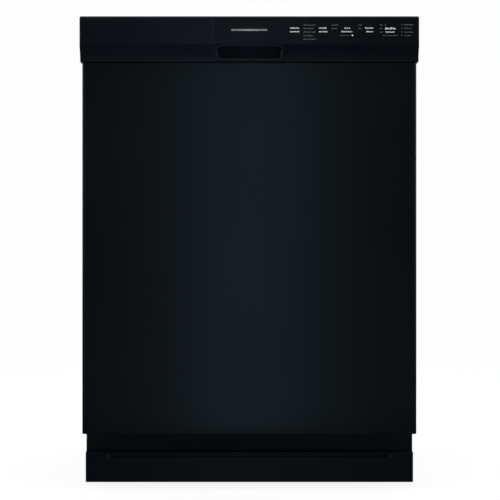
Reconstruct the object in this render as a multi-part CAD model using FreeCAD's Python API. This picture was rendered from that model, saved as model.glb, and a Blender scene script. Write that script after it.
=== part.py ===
"""Built-in dishwasher, 24 inch class, black, pocket handle and front keys.

Units are millimetres. +Z is up, the front of the machine faces -Y, X runs across it.
The origin is on the floor, under the middle of the machine's width and depth.
Each sub-part is written to parts/NODE.step. A node that holds several identical
pieces holds them as separate solids.
"""
import FreeCAD
import Part
import math
import os

V = FreeCAD.Vector

# ---------------------------------------------------------------- driving dimensions
WIDTH = 608.0            # across the console, the widest piece
HEIGHT = 851.0           # floor to console top, feet screwed right in
DEPTH = 635.0            # console face to the rearmost piece, the drain hose
GAP = 0.3                # air between pieces of different bodies that nearly touch
RUNNING = 0.1            # radial clearance of a pin in its own bore

# door
DOOR_STEP = 14.0         # the door skin stands this far behind the console face
DOOR_INSET = 3.0         # and this far in from the console's ends
DOOR_SKIN = 1.2
DOOR_CROWN = 1.5         # bow of the skin across its width
TOE_HEIGHT = 101.0       # floor to door bottom
DOOR_EDGE_R = 5.0
LINER_WALL = 3.0
LINER_PLUG_GAP = 14.0    # between the liner's plug and the tub's side walls
LINER_PLUG_R = 14.0
DOOR_SCREW_R = 1.4
DOOR_SCREW_LOW = 245.0   # floor to the lowest liner screw
DOOR_SCREW_PITCH = 125.0
DISP_X = (-84.0, 84.0)   # detergent and rinse aid dispenser, let into the liner
DISP_Z = (436.0, 560.0)
DISP_PROUD = 9.0
CUP_X = (-74.0, 8.0)     # detergent cup in the dispenser
CUP_Z = (456.0, 540.0)
CAP_X, CAP_Z = 46.0, 498.0
CAP_R = 20.0
VENT_X, VENT_Z = 165.0, 690.0
VENT_R = 40.0

# hinge
HINGE_BACK = 71.5        # console face to hinge axis
HINGE_RISE = 34.0        # door bottom to hinge axis
HINGE_PIN_R = 4.0
ARM_T = 3.0
TAIL_R = 24.0            # hinge axis to the pin that pulls the spring rod
TAIL_ANGLE = 30.0        # of that pin above the horizontal, door shut

# console
CONSOLE_HEIGHT = 80.5
CONSOLE_BAND = 51.0      # height of the flat upper band that carries the keys
CONSOLE_WALL = 2.5
CONSOLE_TOP_R = 5.0
CONSOLE_END_R = 3.0
SCOOP_DEPTH = 13.0       # how far the lower band curves back under the upper one
OVERLAY_T = 0.6
OVERLAY_MARGIN = 4.0
POCKET_WIDTH = 117.0
POCKET_HEIGHT = 21.0
POCKET_DROP = 2.5        # below the band's lower edge
POCKET_DEPTH = 44.0
POCKET_RISE = 14.0       # how far the finger space rises behind the band
POCKET_R = 8.0
KEY_HEIGHT = 24.0
KEY_TRAVEL = 1.0
KEY_CLEARANCE = 0.4
KEY_R = 2.0
KEY_RAISE = 0.2
BOARD_BACK = 9.0         # console face to the control board
BOARD_X0 = 52.0
BOARD_END = 12.0         # board to the console's right end
LATCH_DROP = 21.0        # console top to the strike's tongue
KEYS = [                 # name, centre across the console, width
    ("wash_cycles", 79.8, 26.0),
    ("wash_temp", 131.1, 24.0),
    ("dry_option", 175.8, 28.0),
    ("delay_time", 217.4, 24.0),
    ("start_cancel", 255.6, 28.0),
]

# tub
TUB_SIDE_SPACE = 28.0    # console end to tub cavity
TUB_WALL = 3.0
TUB_FLOOR_DROP = 1.0     # hinge axis to the tub floor
TUB_TOP_SPACE = 46.0     # console top to tub ceiling
TUB_BACK_SPACE = 45.5    # rear to tub cavity
TUB_CORNER_R = 22.0
LEDGE_RISE = 6.0         # rack ledge above the open door's liner
LEDGE_WIDTH = 30.0
LEDGE_START = 35.0       # hinge axis to the ledge's front end, clear of the liner's swing
GASKET_WIDTH = 7.0
RIB_HEIGHT = 5.0
RIB_T = 3.0
RIB_PITCH = 95.0
BLANKET_T = 9.5

# base
RAIL_INSET = 6.0         # base rail outer face in from the console's ends
SHEET = 1.5
BASE_BOTTOM = 45.0
LEG_INSET_X = 44.0
LEG_FRONT_Y = 132.5      # console face to the front legs
LEG_REAR_Y = 72.0        # rear to the rear legs
LEG_STEM_R = 5.0
LEG_PAD_R = 15.0
LEG_PAD_H = 8.0
LEG_TRAVEL = 38.0
SOCKET_H = 13.0
CROSS_H = 35.0           # height of the base's cross members
KICK_RECESS = 96.0       # console face to kick plate
KICK_HEIGHT = 58.0
ACCESS_RECESS = 110.0    # console face to access panel
KICK_INSET = 0.5         # both toe panels in from the console's ends
KICK_SCREW_X = 262.0
KICK_SCREW_Z = 50.5
ACCESS_DROP = 23.0       # hinge axis to the access panel's top
SPRING_REACH = 200.0     # hinge axis to the springs' rear hooks

# water system
CENTRE_BACK = 293.5      # rear to the spray arms' axis
SUMP_DEPTH = 61.0
SUMP_WALL = 3.0
HUB_R = 9.0
ARM_REACH = 214.0
ARM_WIDTH = 46.0
ARM_THICK = 12.0
ARM_RISE = 27.0          # tub floor to the lower arm
MID_ARM_Z = 533.0
FILTER_R = 37.0
FILTER_X = 75.0
FILTER_Y = -84.0         # from the spray arms' axis
HEATER_R = 4.0
HEATER_LEAD_X = 16.0
SUMP_X = (-60.0, 125.0)
SUMP_Y = (-115.0, 70.0)
FEED_R = 9.0
FEED_DROP = 23.0         # tub underside to the feed tube's low run
PUMP_R = 34.0
PUMP_X0, PUMP_X1 = -206.0, -66.0
PUMP_DROP = 47.0         # tub underside to the circulation pump's axis
DRAIN_R = 22.0
DRAIN_X1 = 182.0
DRAIN_Y, DRAIN_Z = -20.0, 94.0
HOSE_R = 11.0
HOSE_TOP = 500.0         # floor to the drain hose's high loop
HOSE_LOOP = 64.0
OUTLET_Z = 70.0
SPIGOT_R = 8.0
SPIGOT_LENGTH = 32.0
INLET_R = 7.0
INLET_X, INLET_Y = -225.0, 60.0
FLOAT_X, FLOAT_Y = -196.0, -186.0

# racks
WIRE_R = 2.0
FRAME_WIRE_R = 2.6
LOWER_WHEEL_R = 17.0
WHEEL_T = 10.0
RACK_FRONT_GAP = 30.0    # liner face to rack rim
RACK_REAR_GAP = 32.0     # tub back wall to rack rim
LOWER_FLOOR_RISE = 44.0  # ledge to the rack's floor wires
LOWER_RIM_RISE = 162.0   # ledge to the rack's rim
LOWER_RACK_INSET = 32.0  # tub side wall to the rack's rim
UPPER_RACK_INSET = 38.0
UPPER_FLOOR = 580.0
UPPER_RIM = 704.0
RAIL_HEIGHT = 28.0
RAIL_DEPTH = 14.0
RAIL_Z = 622.0
RAIL_WALL_GAP = 6.0
RAIL_SHEET = 1.5
LOWER_TRAVEL = 150.0     # the front wheels stay behind the hinge axis
UPPER_WHEEL_R = 12.0
LOWER_TINES = (-190.0, -122.0, -61.0, 0.0, 61.0)
UPPER_TINES = (-119.0, -59.5, 59.5, 119.0)
SHELF_DROP = 40.0        # upper rim to the cup shelves
SHELF_REACH = 92.0
SHELF_WIRE_R = 2.4
SHELF_HALF_LENGTH = 150.0
BASKET_X = (118.0, 196.0)
BASKET_Y = (-168.0, 168.0)
BASKET_HEIGHT = 118.0

# ---------------------------------------------------------------- places worked out from them
half = WIDTH / 2
front = -DEPTH / 2
rear = DEPTH / 2
door_half = half - DOOR_INSET
door_front = front + DOOR_STEP
console_bottom = HEIGHT - CONSOLE_HEIGHT
band_bottom = HEIGHT - CONSOLE_BAND
hinge_y = front + HINGE_BACK
hinge_z = TOE_HEIGHT + HINGE_RISE
skin_back = hinge_y - 16.0           # where the skin's returns end
liner_flange = hinge_y - 9.0         # the liner's flat rim, facing the gasket
liner_face = hinge_y + 22.0          # the liner's plug, facing the racks
tub_front = hinge_y - 4.0
tub_half = half - TUB_SIDE_SPACE
tub_top = HEIGHT - TUB_TOP_SPACE
tub_back = rear - TUB_BACK_SPACE
tub_out = tub_half + TUB_WALL
tub_floor = hinge_z - TUB_FLOOR_DROP
tub_under = tub_floor - TUB_WALL
tub_rear_face = tub_back + TUB_WALL
plug_half = tub_half - LINER_PLUG_GAP
plug_bottom = hinge_z + 19.0
plug_top = tub_top - 10.0
ledge = hinge_z + (liner_face - hinge_y) + LEDGE_RISE
well_half = tub_half - LEDGE_WIDTH
sill = hinge_z + 15.0                # top of the tub's front lip
flange_half = half - 4.0
flange_top = HEIGHT - 15.0
notch_half = tub_out + 5.5           # the tub flange is cut back outside this, by the hinges
notch_top = hinge_z + 80.0
rail_out = half - RAIL_INSET
rail_in = rail_out - SHEET
arm_out = rail_in - 2.0
arm_in = arm_out - ARM_T
rod_x = arm_in - GAP - 4.0
centre_y = rear - CENTRE_BACK
lower_arm_z = tub_floor + ARM_RISE
rack_front = liner_face + RACK_FRONT_GAP
rack_rear = tub_back - RACK_REAR_GAP
lower_half = tub_half - LOWER_RACK_INSET
upper_half = tub_half - UPPER_RACK_INSET
lower_floor = ledge + LOWER_FLOOR_RISE
lower_rim = ledge + LOWER_RIM_RISE
rail_x1 = tub_half - RAIL_WALL_GAP
rail_x0 = rail_x1 - RAIL_DEPTH
rail_mid_z = RAIL_Z + RAIL_HEIGHT / 2
rail_front = liner_face + 18.0
rail_back = tub_back - 10.0
key_z = band_bottom + 25.0
board_y = front + BOARD_BACK
board_x1 = half - BOARD_END
latch_z = HEIGHT - LATCH_DROP
latch_back = skin_back - GAP
latch_pivot = (latch_back - 14.0, latch_z + 8.0)
screw_x = door_half - 6.0
door_screw_places = [(s * screw_x, DOOR_SCREW_LOW + k * DOOR_SCREW_PITCH) for s in (-1, 1) for k in range(5)]
leg_x = half - LEG_INSET_X
leg_front = front + LEG_FRONT_Y
leg_rear = rear - LEG_REAR_Y
spring_rear = hinge_y + SPRING_REACH
kick_face = front + KICK_RECESS
access_face = front + ACCESS_RECESS
kick_screw_x = (-KICK_SCREW_X, KICK_SCREW_X)
filter_y = centre_y + FILTER_Y
sump_floor = tub_floor - SUMP_DEPTH
pump_z = tub_under - PUMP_DROP
feed_low = tub_under - FEED_DROP
manifold_z = MID_ARM_Z + ARM_THICK + 17.0
feed_y = tub_back - FEED_R - 4.0
heater_front = centre_y - 160.0
wheel_x0 = lower_half + 4.0
wheel_x1 = wheel_x0 + WHEEL_T
lower_axle_z = ledge + LOWER_WHEEL_R
lower_wheel_y = (hinge_y + LOWER_TRAVEL + 4.0, rack_rear - 44.0)
upper_wheel_y = (60.0, rack_rear - 16.0)
upper_wheel_x0 = rail_x0 + 1.0
upper_wheel_x1 = upper_wheel_x0 + 8.0
shelf_x = upper_half - 13.0
shelf_z = UPPER_RIM - SHELF_DROP
basket_z0 = lower_floor + 3 * WIRE_R
basket_z1 = basket_z0 + BASKET_HEIGHT


# ---------------------------------------------------------------- small tools
def spread(a, b, count):
    """count evenly spaced values from a to b."""
    return [a + (b - a) * k / (count - 1) for k in range(count)]


def block(x0, x1, y0, y1, z0, z1):
    """A box from its lowest and highest corners."""
    return Part.makeBox(x1 - x0, y1 - y0, z1 - z0, V(x0, y0, z0))


def fuse(*shapes):
    """One solid from several that share faces or volume."""
    return shapes[0].fuse(list(shapes[1:])).removeSplitter()


def cylinder(r, start, end):
    """A round bar between two points."""
    a, b = V(*start), V(*end)
    return Part.makeCylinder(r, (b - a).Length, a, b - a)


def ring(r_out, r_in, start, end):
    """A round tube between two points."""
    return cylinder(r_out, start, end).cut(cylinder(r_in, start, end))


def outline(points, radius):
    """A closed wire through points, in any plane, with every corner rounded."""
    pts = [V(*p) for p in points]
    n = len(pts)
    starts, ends, mids = [], [], []
    for i in range(n):
        before = (pts[i - 1] - pts[i]).normalize()
        after = (pts[(i + 1) % n] - pts[i]).normalize()
        turn = before.getAngle(after)
        back = radius / math.tan(turn / 2)
        bisector = (before + after).normalize()
        starts.append(pts[i] + before * back)
        ends.append(pts[i] + after * back)
        mids.append(pts[i] + bisector * (radius / math.sin(turn / 2) - radius))
    edges = []
    for i in range(n):
        edges.append(Part.Arc(starts[i], mids[i], ends[i]).toShape())
        edges.append(Part.LineSegment(ends[i], starts[(i + 1) % n]).toShape())
    return Part.Wire(edges)


def slab(axis, a0, a1, u, v, radius):
    """A plate with rounded corners. axis is the thin direction, from a0 to a1; u and v are the
    ranges along the other two axes in X, Y, Z order."""
    corners = [(u[0], v[0]), (u[1], v[0]), (u[1], v[1]), (u[0], v[1])]
    place = {
        "x": lambda p, q: (a0, p, q),
        "y": lambda p, q: (p, a0, q),
        "z": lambda p, q: (p, q, a0),
    }[axis]
    direction = {"x": V(a1 - a0, 0, 0), "y": V(0, a1 - a0, 0), "z": V(0, 0, a1 - a0)}[axis]
    return Part.Face(outline([place(*c) for c in corners], radius)).extrude(direction)


def prism_x(points, x0, x1):
    """A solid with a flat side profile of (y, z) points, from x0 to x1."""
    wire = Part.makePolygon([V(x0, y, z) for y, z in points + points[:1]])
    return Part.Face(wire).extrude(V(x1 - x0, 0, 0))


def bent_tube(points, r, bend):
    """A round bar along straight runs joined by tangent arcs of radius bend."""
    pts = [V(*p) for p in points]
    edges, last = [], pts[0]
    for i in range(1, len(pts) - 1):
        before = (pts[i - 1] - pts[i]).normalize()
        after = (pts[i + 1] - pts[i]).normalize()
        turn = before.getAngle(after)
        back = bend / math.tan(turn / 2)
        bisector = (before + after).normalize()
        a, b = pts[i] + before * back, pts[i] + after * back
        middle = pts[i] + bisector * (bend / math.sin(turn / 2) - bend)
        edges += [Part.LineSegment(last, a).toShape(), Part.Arc(a, middle, b).toShape()]
        last = b
    edges.append(Part.LineSegment(last, pts[-1]).toShape())
    path = Part.Wire(edges)
    profile = Part.Wire(Part.makeCircle(r, pts[0], pts[1] - pts[0]))
    return path.makePipeShell([profile], True, False)


def both_sides(make):
    """Two solids, from make(side) with side -1 and 1."""
    return [make(-1), make(1)]


def span(side, a, b):
    """The X range from a to b on one side of the machine, lowest first."""
    return (side * a, side * b) if side > 0 else (side * b, side * a)


def rounded(shape, radius, chosen):
    """shape with the edges that chosen(edge) picks rounded."""
    return shape.makeFillet(radius, [e for e in shape.Edges if chosen(e)])


def along(edge, axis):
    """Is edge a straight edge along that axis?"""
    if edge.Curve.TypeId != "Part::GeomLine":
        return False
    return abs(abs(edge.Curve.Direction.dot(V(*axis))) - 1) < 1e-6


def in_plane(edge, axis, value):
    """Does edge lie wholly in the plane where that coordinate has that value?"""
    low, high = getattr(edge.BoundBox, axis + "Min"), getattr(edge.BoundBox, axis + "Max")
    return high - low < 0.01 and abs(low - value) < 0.01


def write(name, *shapes):
    """Writes a node. Several shapes stay separate solids."""
    solids = [s for shape in shapes for s in shape.Solids]
    shape = solids[0] if len(solids) == 1 else Part.makeCompound(solids)
    shape.exportStep(os.path.join("parts", name + ".step"))


# ---------------------------------------------------------------- door
def door_skin():
    """The painted steel front: one bowed sheet folded back on all four sides."""
    def tray(inset, face, back):
        x, y = door_half - inset, face
        top, bottom = console_bottom - GAP - inset, TOE_HEIGHT + inset
        edge_y = y + DOOR_CROWN
        front_arc = Part.Arc(V(-x, edge_y, bottom), V(0, y, bottom), V(x, edge_y, bottom))
        edges = [front_arc.toShape()]
        corners = [V(x, edge_y, bottom), V(x, back, bottom), V(-x, back, bottom), V(-x, edge_y, bottom)]
        edges += [Part.LineSegment(a, b).toShape() for a, b in zip(corners, corners[1:])]
        body = Part.Face(Part.Wire(edges)).extrude(V(0, 0, top - bottom))
        radius = DOOR_EDGE_R - inset
        at_front = lambda e: along(e, (0, 0, 1)) and abs(e.Vertexes[0].Y - edge_y) < 0.01
        return rounded(body, radius, at_front)

    outer = tray(0, door_front, skin_back)
    inner = tray(DOOR_SKIN, door_front + DOOR_SKIN, skin_back + 1)
    return outer.cut(inner)


def door_liner():
    """The plastic inner door: a flat rim round a raised plug, hollow from the front."""
    rim = block(-door_half, door_half, skin_back, liner_flange, TOE_HEIGHT, HEIGHT - 3)
    plug_x, plug_z = (-plug_half, plug_half), (plug_bottom, plug_top)
    plug = slab("y", liner_flange - 1, liner_face, plug_x, plug_z, LINER_PLUG_R)
    plug = rounded(plug, 6.0, lambda e: in_plane(e, "Y", liner_face))
    body = rim.fuse(plug)
    w = LINER_WALL
    hollow = block(-door_half + w, door_half - w, skin_back - 1, liner_flange - w,
                   TOE_HEIGHT + w, HEIGHT - 3 - w)
    core = slab("y", liner_flange - w - 1, liner_face - w, (-plug_half + w, plug_half - w),
                (plug_bottom + w, plug_top - w), LINER_PLUG_R - w)
    body = body.cut([hollow, core])
    depth = (skin_back - 1, liner_flange + 1)
    corner_cuts = [
        block(*span(s, notch_half + 3, door_half + 1), *depth, TOE_HEIGHT - 1, notch_top - 35)
        for s in (-1, 1)
    ]
    latch_slot = block(-16, 16, *depth, HEIGHT - 33, HEIGHT - 11)
    cup = slab("y", liner_face - w - 1, liner_face + 1, DISP_X, DISP_Z, 8.0)
    vent = cylinder(VENT_R - 6, (VENT_X, liner_face - w - 1, VENT_Z), (VENT_X, liner_face + 1, VENT_Z))
    screw_holes = [
        cylinder(DOOR_SCREW_R + RUNNING, (x, liner_flange - LINER_WALL - 1, z), (x, liner_flange + 1, z))
        for x, z in door_screw_places
    ]
    return body.cut(corner_cuts + screw_holes + [latch_slot, cup, vent])


def dispenser_body():
    """Housing for detergent and rinse aid: a lipped box through the liner."""
    w = 2.5
    back = liner_face - 34.0
    face = liner_face + DISP_PROUD
    lip = slab("y", liner_face, face, (DISP_X[0] - 8, DISP_X[1] + 8), (DISP_Z[0] - 8, DISP_Z[1] + 8), 12.0)
    lip = rounded(lip, 3.0, lambda e: in_plane(e, "Y", face))
    box_x, box_z = (DISP_X[0] + GAP, DISP_X[1] - GAP), (DISP_Z[0] + GAP, DISP_Z[1] - GAP)
    box = slab("y", back, liner_face, box_x, box_z, 7.0)
    cup = slab("y", back + w, face + 1, CUP_X, CUP_Z, 6.0)
    well = cylinder(CAP_R + 0.4, (CAP_X, face - 7, CAP_Z), (CAP_X, face + 1, CAP_Z))
    neck = cylinder(9.0, (CAP_X, back + w, CAP_Z), (CAP_X, face + 1, CAP_Z))
    return fuse(lip, box).cut([cup, well, neck])


def dispenser_cover():
    """The sprung flap over the detergent cup, hinged along its lower edge on two stubs."""
    face = liner_face + DISP_PROUD
    flap = slab("y", face + GAP, face + 4.0, (CUP_X[0] - 4, CUP_X[1] + 4), (CUP_Z[0] - 4, CUP_Z[1] + 4), 6.0)
    flap = rounded(flap, 1.5, lambda e: in_plane(e, "Y", face + 4.0))
    knuckle_y, knuckle_z = flap_axis()
    knuckle = cylinder(2.6, (CUP_X[0] + 4, knuckle_y, knuckle_z), (CUP_X[1] - 4, knuckle_y, knuckle_z))
    tab = block(-42, -24, face + 3.5, face + 7, CUP_Z[1] - 10, CUP_Z[1] - 2)
    return fuse(flap, knuckle, tab)


def flap_axis():
    """Where the detergent flap turns: (y, z)."""
    return liner_face + DISP_PROUD + 3.2, CUP_Z[0] - 5.0


def rinse_cap():
    """Quarter-turn cap of the rinse aid tank, with a finger bar."""
    face = liner_face + DISP_PROUD
    disc = cylinder(CAP_R, (CAP_X, face - 6.5, CAP_Z), (CAP_X, face + 1.5, CAP_Z))
    plug = cylinder(8.7, (CAP_X, face - 20, CAP_Z), (CAP_X, face - 6, CAP_Z))
    bar = slab("y", face + 1, face + 6, (CAP_X - 3, CAP_X + 3), (CAP_Z - 15, CAP_Z + 15), 2.5)
    return fuse(disc, plug, bar)


def vent_cover():
    """Round louvred cap over the door vent."""
    face = liner_face
    cap = cylinder(VENT_R, (VENT_X, face, VENT_Z), (VENT_X, face + 7, VENT_Z))
    cap = rounded(cap, 2.5, lambda e: in_plane(e, "Y", face + 7))
    collar = cylinder(VENT_R - 6 - GAP, (VENT_X, face - 12, VENT_Z), (VENT_X, face + 1, VENT_Z))
    bore = cylinder(VENT_R - 9, (VENT_X, face - 13, VENT_Z), (VENT_X, face + 4, VENT_Z))
    slots = [
        block(VENT_X - 24, VENT_X + 24, face + 1, face + 8, VENT_Z + k * 11 - 2, VENT_Z + k * 11 + 2)
        for k in (-2, -1, 0, 1, 2)
    ]
    return fuse(cap, collar).cut([bore] + slots)


def door_seal():
    """Rubber strip low on the liner, against the tub's sill."""
    strip = block(-tub_half + 4, tub_half - 4, liner_flange, hinge_y - 4.4, hinge_z + 5, sill - 1)
    return rounded(strip, 1.5, lambda e: along(e, (1, 0, 0)) and abs(e.Vertexes[0].Y - hinge_y + 4.4) < 0.01)


def hinge_arms():
    """Steel plates that carry the door: a long leg inside the door, a boss on the pin, a tail."""
    tail_y, tail_z = tail_pin()

    def arm(s):
        x = span(s, arm_in, arm_out)
        leg = block(*x, skin_back - 28, skin_back - 6, TOE_HEIGHT + 8, hinge_z + 150)
        bridge = block(*x, skin_back - 16, hinge_y, hinge_z - 13, hinge_z + 13)
        boss = cylinder(13, (x[0], hinge_y, hinge_z), (x[1], hinge_y, hinge_z))
        tail_boss = cylinder(7, (x[0], tail_y, tail_z), (x[1], tail_y, tail_z))
        tail = block(*x, hinge_y, tail_y, hinge_z - 6, tail_z + 5)
        stub = cylinder(3.0, (s * (rod_x - 1.9), tail_y, tail_z), (s * arm_in, tail_y, tail_z))
        hole = cylinder(HINGE_PIN_R + RUNNING, (x[0] - 1, hinge_y, hinge_z), (x[1] + 1, hinge_y, hinge_z))
        return fuse(leg, bridge, boss, tail, tail_boss, stub).cut(hole)

    return both_sides(arm)


def tail_pin():
    """Where the spring rod pulls on the hinge arm, door shut: (y, z)."""
    a = math.radians(TAIL_ANGLE)
    return hinge_y + TAIL_R * math.cos(a), hinge_z + TAIL_R * math.sin(a)


# ---------------------------------------------------------------- console
def console_profile(inset):
    """Side profile of the console as a face at x = 0: flat band above, concave scoop below."""
    y0, y1 = front + inset, skin_back + (1 if inset else 0)
    top, bottom = HEIGHT - inset, console_bottom + inset
    scoop_y = front + SCOOP_DEPTH + inset
    step_z = band_bottom + inset * 0.4
    quarter = y0 + (scoop_y - y0) * 0.75
    half_way = bottom + (step_z - bottom) / 2
    scoop = Part.Arc(V(0, y0, step_z), V(0, quarter, half_way), V(0, scoop_y, bottom)).toShape()
    line = lambda a, b: Part.LineSegment(V(0, *a), V(0, *b)).toShape()
    edges = [
        line((y1, bottom), (y1, top)),
        line((y1, top), (y0, top)),
        line((y0, top), (y0, step_z)),
        scoop,
        line((scoop_y, bottom), (y1, bottom)),
    ]
    return Part.Face(Part.Wire(edges))


def key_hole(x, width, clearance, y0, y1):
    """The rounded prism that a key passes through."""
    w, h = width / 2 + clearance, KEY_HEIGHT / 2 + clearance
    return slab("y", y0, y1, (x - w, x + w), (key_z - h, key_z + h), KEY_R + clearance)


def pocket_space(grow, mouth):
    """The finger space: a mouth through the scoop that rises behind the band. grow makes it larger
    all round for the wall; mouth is how far in front it starts."""
    w, r = POCKET_WIDTH / 2 + grow, POCKET_R + grow
    low = band_bottom - POCKET_DROP - POCKET_HEIGHT - grow
    deep = front + POCKET_DEPTH + grow
    mouth_part = slab("y", mouth, deep, (-w, w), (low, band_bottom - POCKET_DROP + grow), r)
    hook_z = (low, band_bottom + POCKET_RISE + grow)
    hook_part = slab("y", front + SCOOP_DEPTH + 5 - grow, deep, (-w, w), hook_z, r)
    return mouth_part.fuse(hook_part).removeSplitter()


def console():
    """The moulded top of the door, open behind, with bosses for the control board."""
    outer = console_profile(0).extrude(V(2 * half, 0, 0)).translated(V(-half, 0, 0))
    top_edge = lambda e: along(e, (1, 0, 0)) and in_plane(e, "Z", HEIGHT) and in_plane(e, "Y", front)
    outer = rounded(outer, CONSOLE_TOP_R, top_edge)
    top_corner = lambda e: along(e, (0, 1, 0)) and abs(e.Vertexes[0].Z - HEIGHT) < 0.01
    outer = rounded(outer, CONSOLE_END_R, top_corner)
    inner_half = half - CONSOLE_WALL
    inner = console_profile(CONSOLE_WALL).extrude(V(2 * inner_half, 0, 0)).translated(V(-inner_half, 0, 0))
    body = outer.cut(inner)
    overlay_bed = block(-half + OVERLAY_MARGIN, half - OVERLAY_MARGIN, front - 1, front + OVERLAY_T,
                        band_bottom + OVERLAY_MARGIN / 2, HEIGHT - OVERLAY_MARGIN - CONSOLE_TOP_R)
    holes = [key_hole(x, w, KEY_CLEARANCE, front - 1, front + CONSOLE_WALL + 1) for _, x, w in KEYS]
    bosses = [
        cylinder(3.0, (x, front + CONSOLE_WALL - 0.5, z), (x, board_y, z))
        for x in (BOARD_X0 + 8, (KEYS[2][1] + KEYS[1][1]) / 2, board_x1 - 6)
        for z in (band_bottom + 8, HEIGHT - 9)
    ]
    pocket_hole = pocket_space(2.5 + GAP, front - 2)
    return body.cut([overlay_bed] + holes).fuse(bosses).cut(pocket_hole).removeSplitter()


def handle_pocket():
    """The cup behind the finger opening, a moulding of its own let into the console."""
    outer = pocket_space(2.5, front - 2)
    cup = outer.cut(pocket_space(0, front - 3))
    trim = console_profile(0).extrude(V(2 * half, 0, 0)).translated(V(-half, 0, 0))
    return cup.common(trim)


def overlay():
    """The glossy printed sheet on the console's flat band."""
    sheet = block(-half + OVERLAY_MARGIN + 0.1, half - OVERLAY_MARGIN - 0.1, front, front + OVERLAY_T,
                  band_bottom + OVERLAY_MARGIN / 2 + 0.1, HEIGHT - OVERLAY_MARGIN - CONSOLE_TOP_R - 0.1)
    return sheet.cut([key_hole(x, w, KEY_CLEARANCE, front - 1, front + 2) for _, x, w in KEYS])


def key(x, width):
    """One key: a cap through the console wall, a flange that stops it, a stem to its switch."""
    w, h = width / 2, KEY_HEIGHT / 2
    flange_y = front + CONSOLE_WALL + GAP
    cap = slab("y", front - KEY_RAISE, flange_y, (x - w, x + w), (key_z - h, key_z + h), KEY_R)
    cap = rounded(cap, 0.5, lambda e: in_plane(e, "Y", front - KEY_RAISE))
    flange = block(x - w - 1.5, x + w + 1.5, flange_y, flange_y + 1.5,
                   key_z - h - 1.5, key_z + h + 1.5)
    stem = cylinder(3.0, (x, flange_y + 1, key_z), (x, board_y - 2.3 - KEY_TRAVEL, key_z))
    return fuse(cap, flange, stem)


def control_board():
    """Circuit board with a tact switch behind each key and the parts that drive the pumps."""
    board = block(BOARD_X0, board_x1, board_y, board_y + 1.6, band_bottom + 3, HEIGHT - 5)
    switches = [block(x - 3, x + 3, board_y - 2, board_y, key_z - 3, key_z + 3) for _, x, _ in KEYS]
    relays = [block(x, x + 19, board_y + 1.6, board_y + 16, HEIGHT - 30, HEIGHT - 14) for x in (90, 116, 142)]
    capacitor = cylinder(8, (200, board_y + 1.6, HEIGHT - 22), (200, board_y + 22, HEIGHT - 22))
    connector = block(240, 270, board_y + 1.6, board_y + 12, band_bottom + 6, band_bottom + 16)
    return fuse(board, *switches, *relays, capacitor, connector)


def latch_body():
    """Latch housing behind the band, open behind for the tongue and slotted for the hook's pin."""
    outer = block(-30, 30, latch_back - 34, latch_back, HEIGHT - 33, HEIGHT - 5)
    inner = block(-27, 27, latch_back - 31, latch_back + 1, HEIGHT - 30, HEIGHT - 8)
    pin = cylinder(2.0, (-30, *latch_pivot), (30, *latch_pivot))
    feet = [
        block(s * 30 - 8, s * 30 + 8, latch_back - 2, latch_back, HEIGHT - 33, HEIGHT - 13)
        for s in (-1, 1)
    ]
    return fuse(outer.cut(inner), pin, *feet)


def latch_hook():
    """The sprung jaw that drops behind the tongue's bead when the door shuts."""
    y, z = latch_pivot
    boss = cylinder(4.0, (-8, y, z), (8, y, z))
    jaw = block(-8, 8, y - 12, y, z - 3, z + 3)
    tooth = prism_x([(y - 12, z), (y - 12, z - 6), (y - 9, z - 6), (y - 6, z - 2), (y - 6, z)], -8, 8)
    hole = cylinder(2.0 + RUNNING, (-9, y, z), (9, y, z))
    return fuse(boss, jaw, tooth).cut(hole)


def strike():
    """Steel tongue on the tub's front flange that the latch takes hold of."""
    back = tub_front + TUB_WALL
    plate = block(-24, 24, back, back + 2, HEIGHT - 39, flange_top)
    tongue = block(-9, 9, tub_front - 32, back + 2, latch_z - 1.2, latch_z + 1.2)
    tongue = rounded(tongue, 4.0, lambda e: along(e, (0, 0, 1)) and e.Vertexes[0].Y < tub_front - 30)
    return fuse(plate, tongue)


# ---------------------------------------------------------------- tub
def tub_shape(wall):
    """The tub as a filled shape: wall 0 is the cavity, TUB_WALL the outside."""
    mouth = tub_front if wall else tub_front - 1
    y1, t = tub_back + wall, tub_half + wall
    main = slab("y", mouth, y1, (-t, t), (ledge - wall, tub_top + wall), TUB_CORNER_R + wall)
    low = tub_floor - wall
    trough = block(-t, t, mouth, hinge_y + LEDGE_START + wall, low, ledge + 30)
    well = block(-well_half - wall, well_half + wall, mouth, y1, low, ledge + 1)
    foot = block(-t, t, mouth, y1, ledge - wall, ledge + 30)
    return fuse(main, trough, well, foot)


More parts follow.
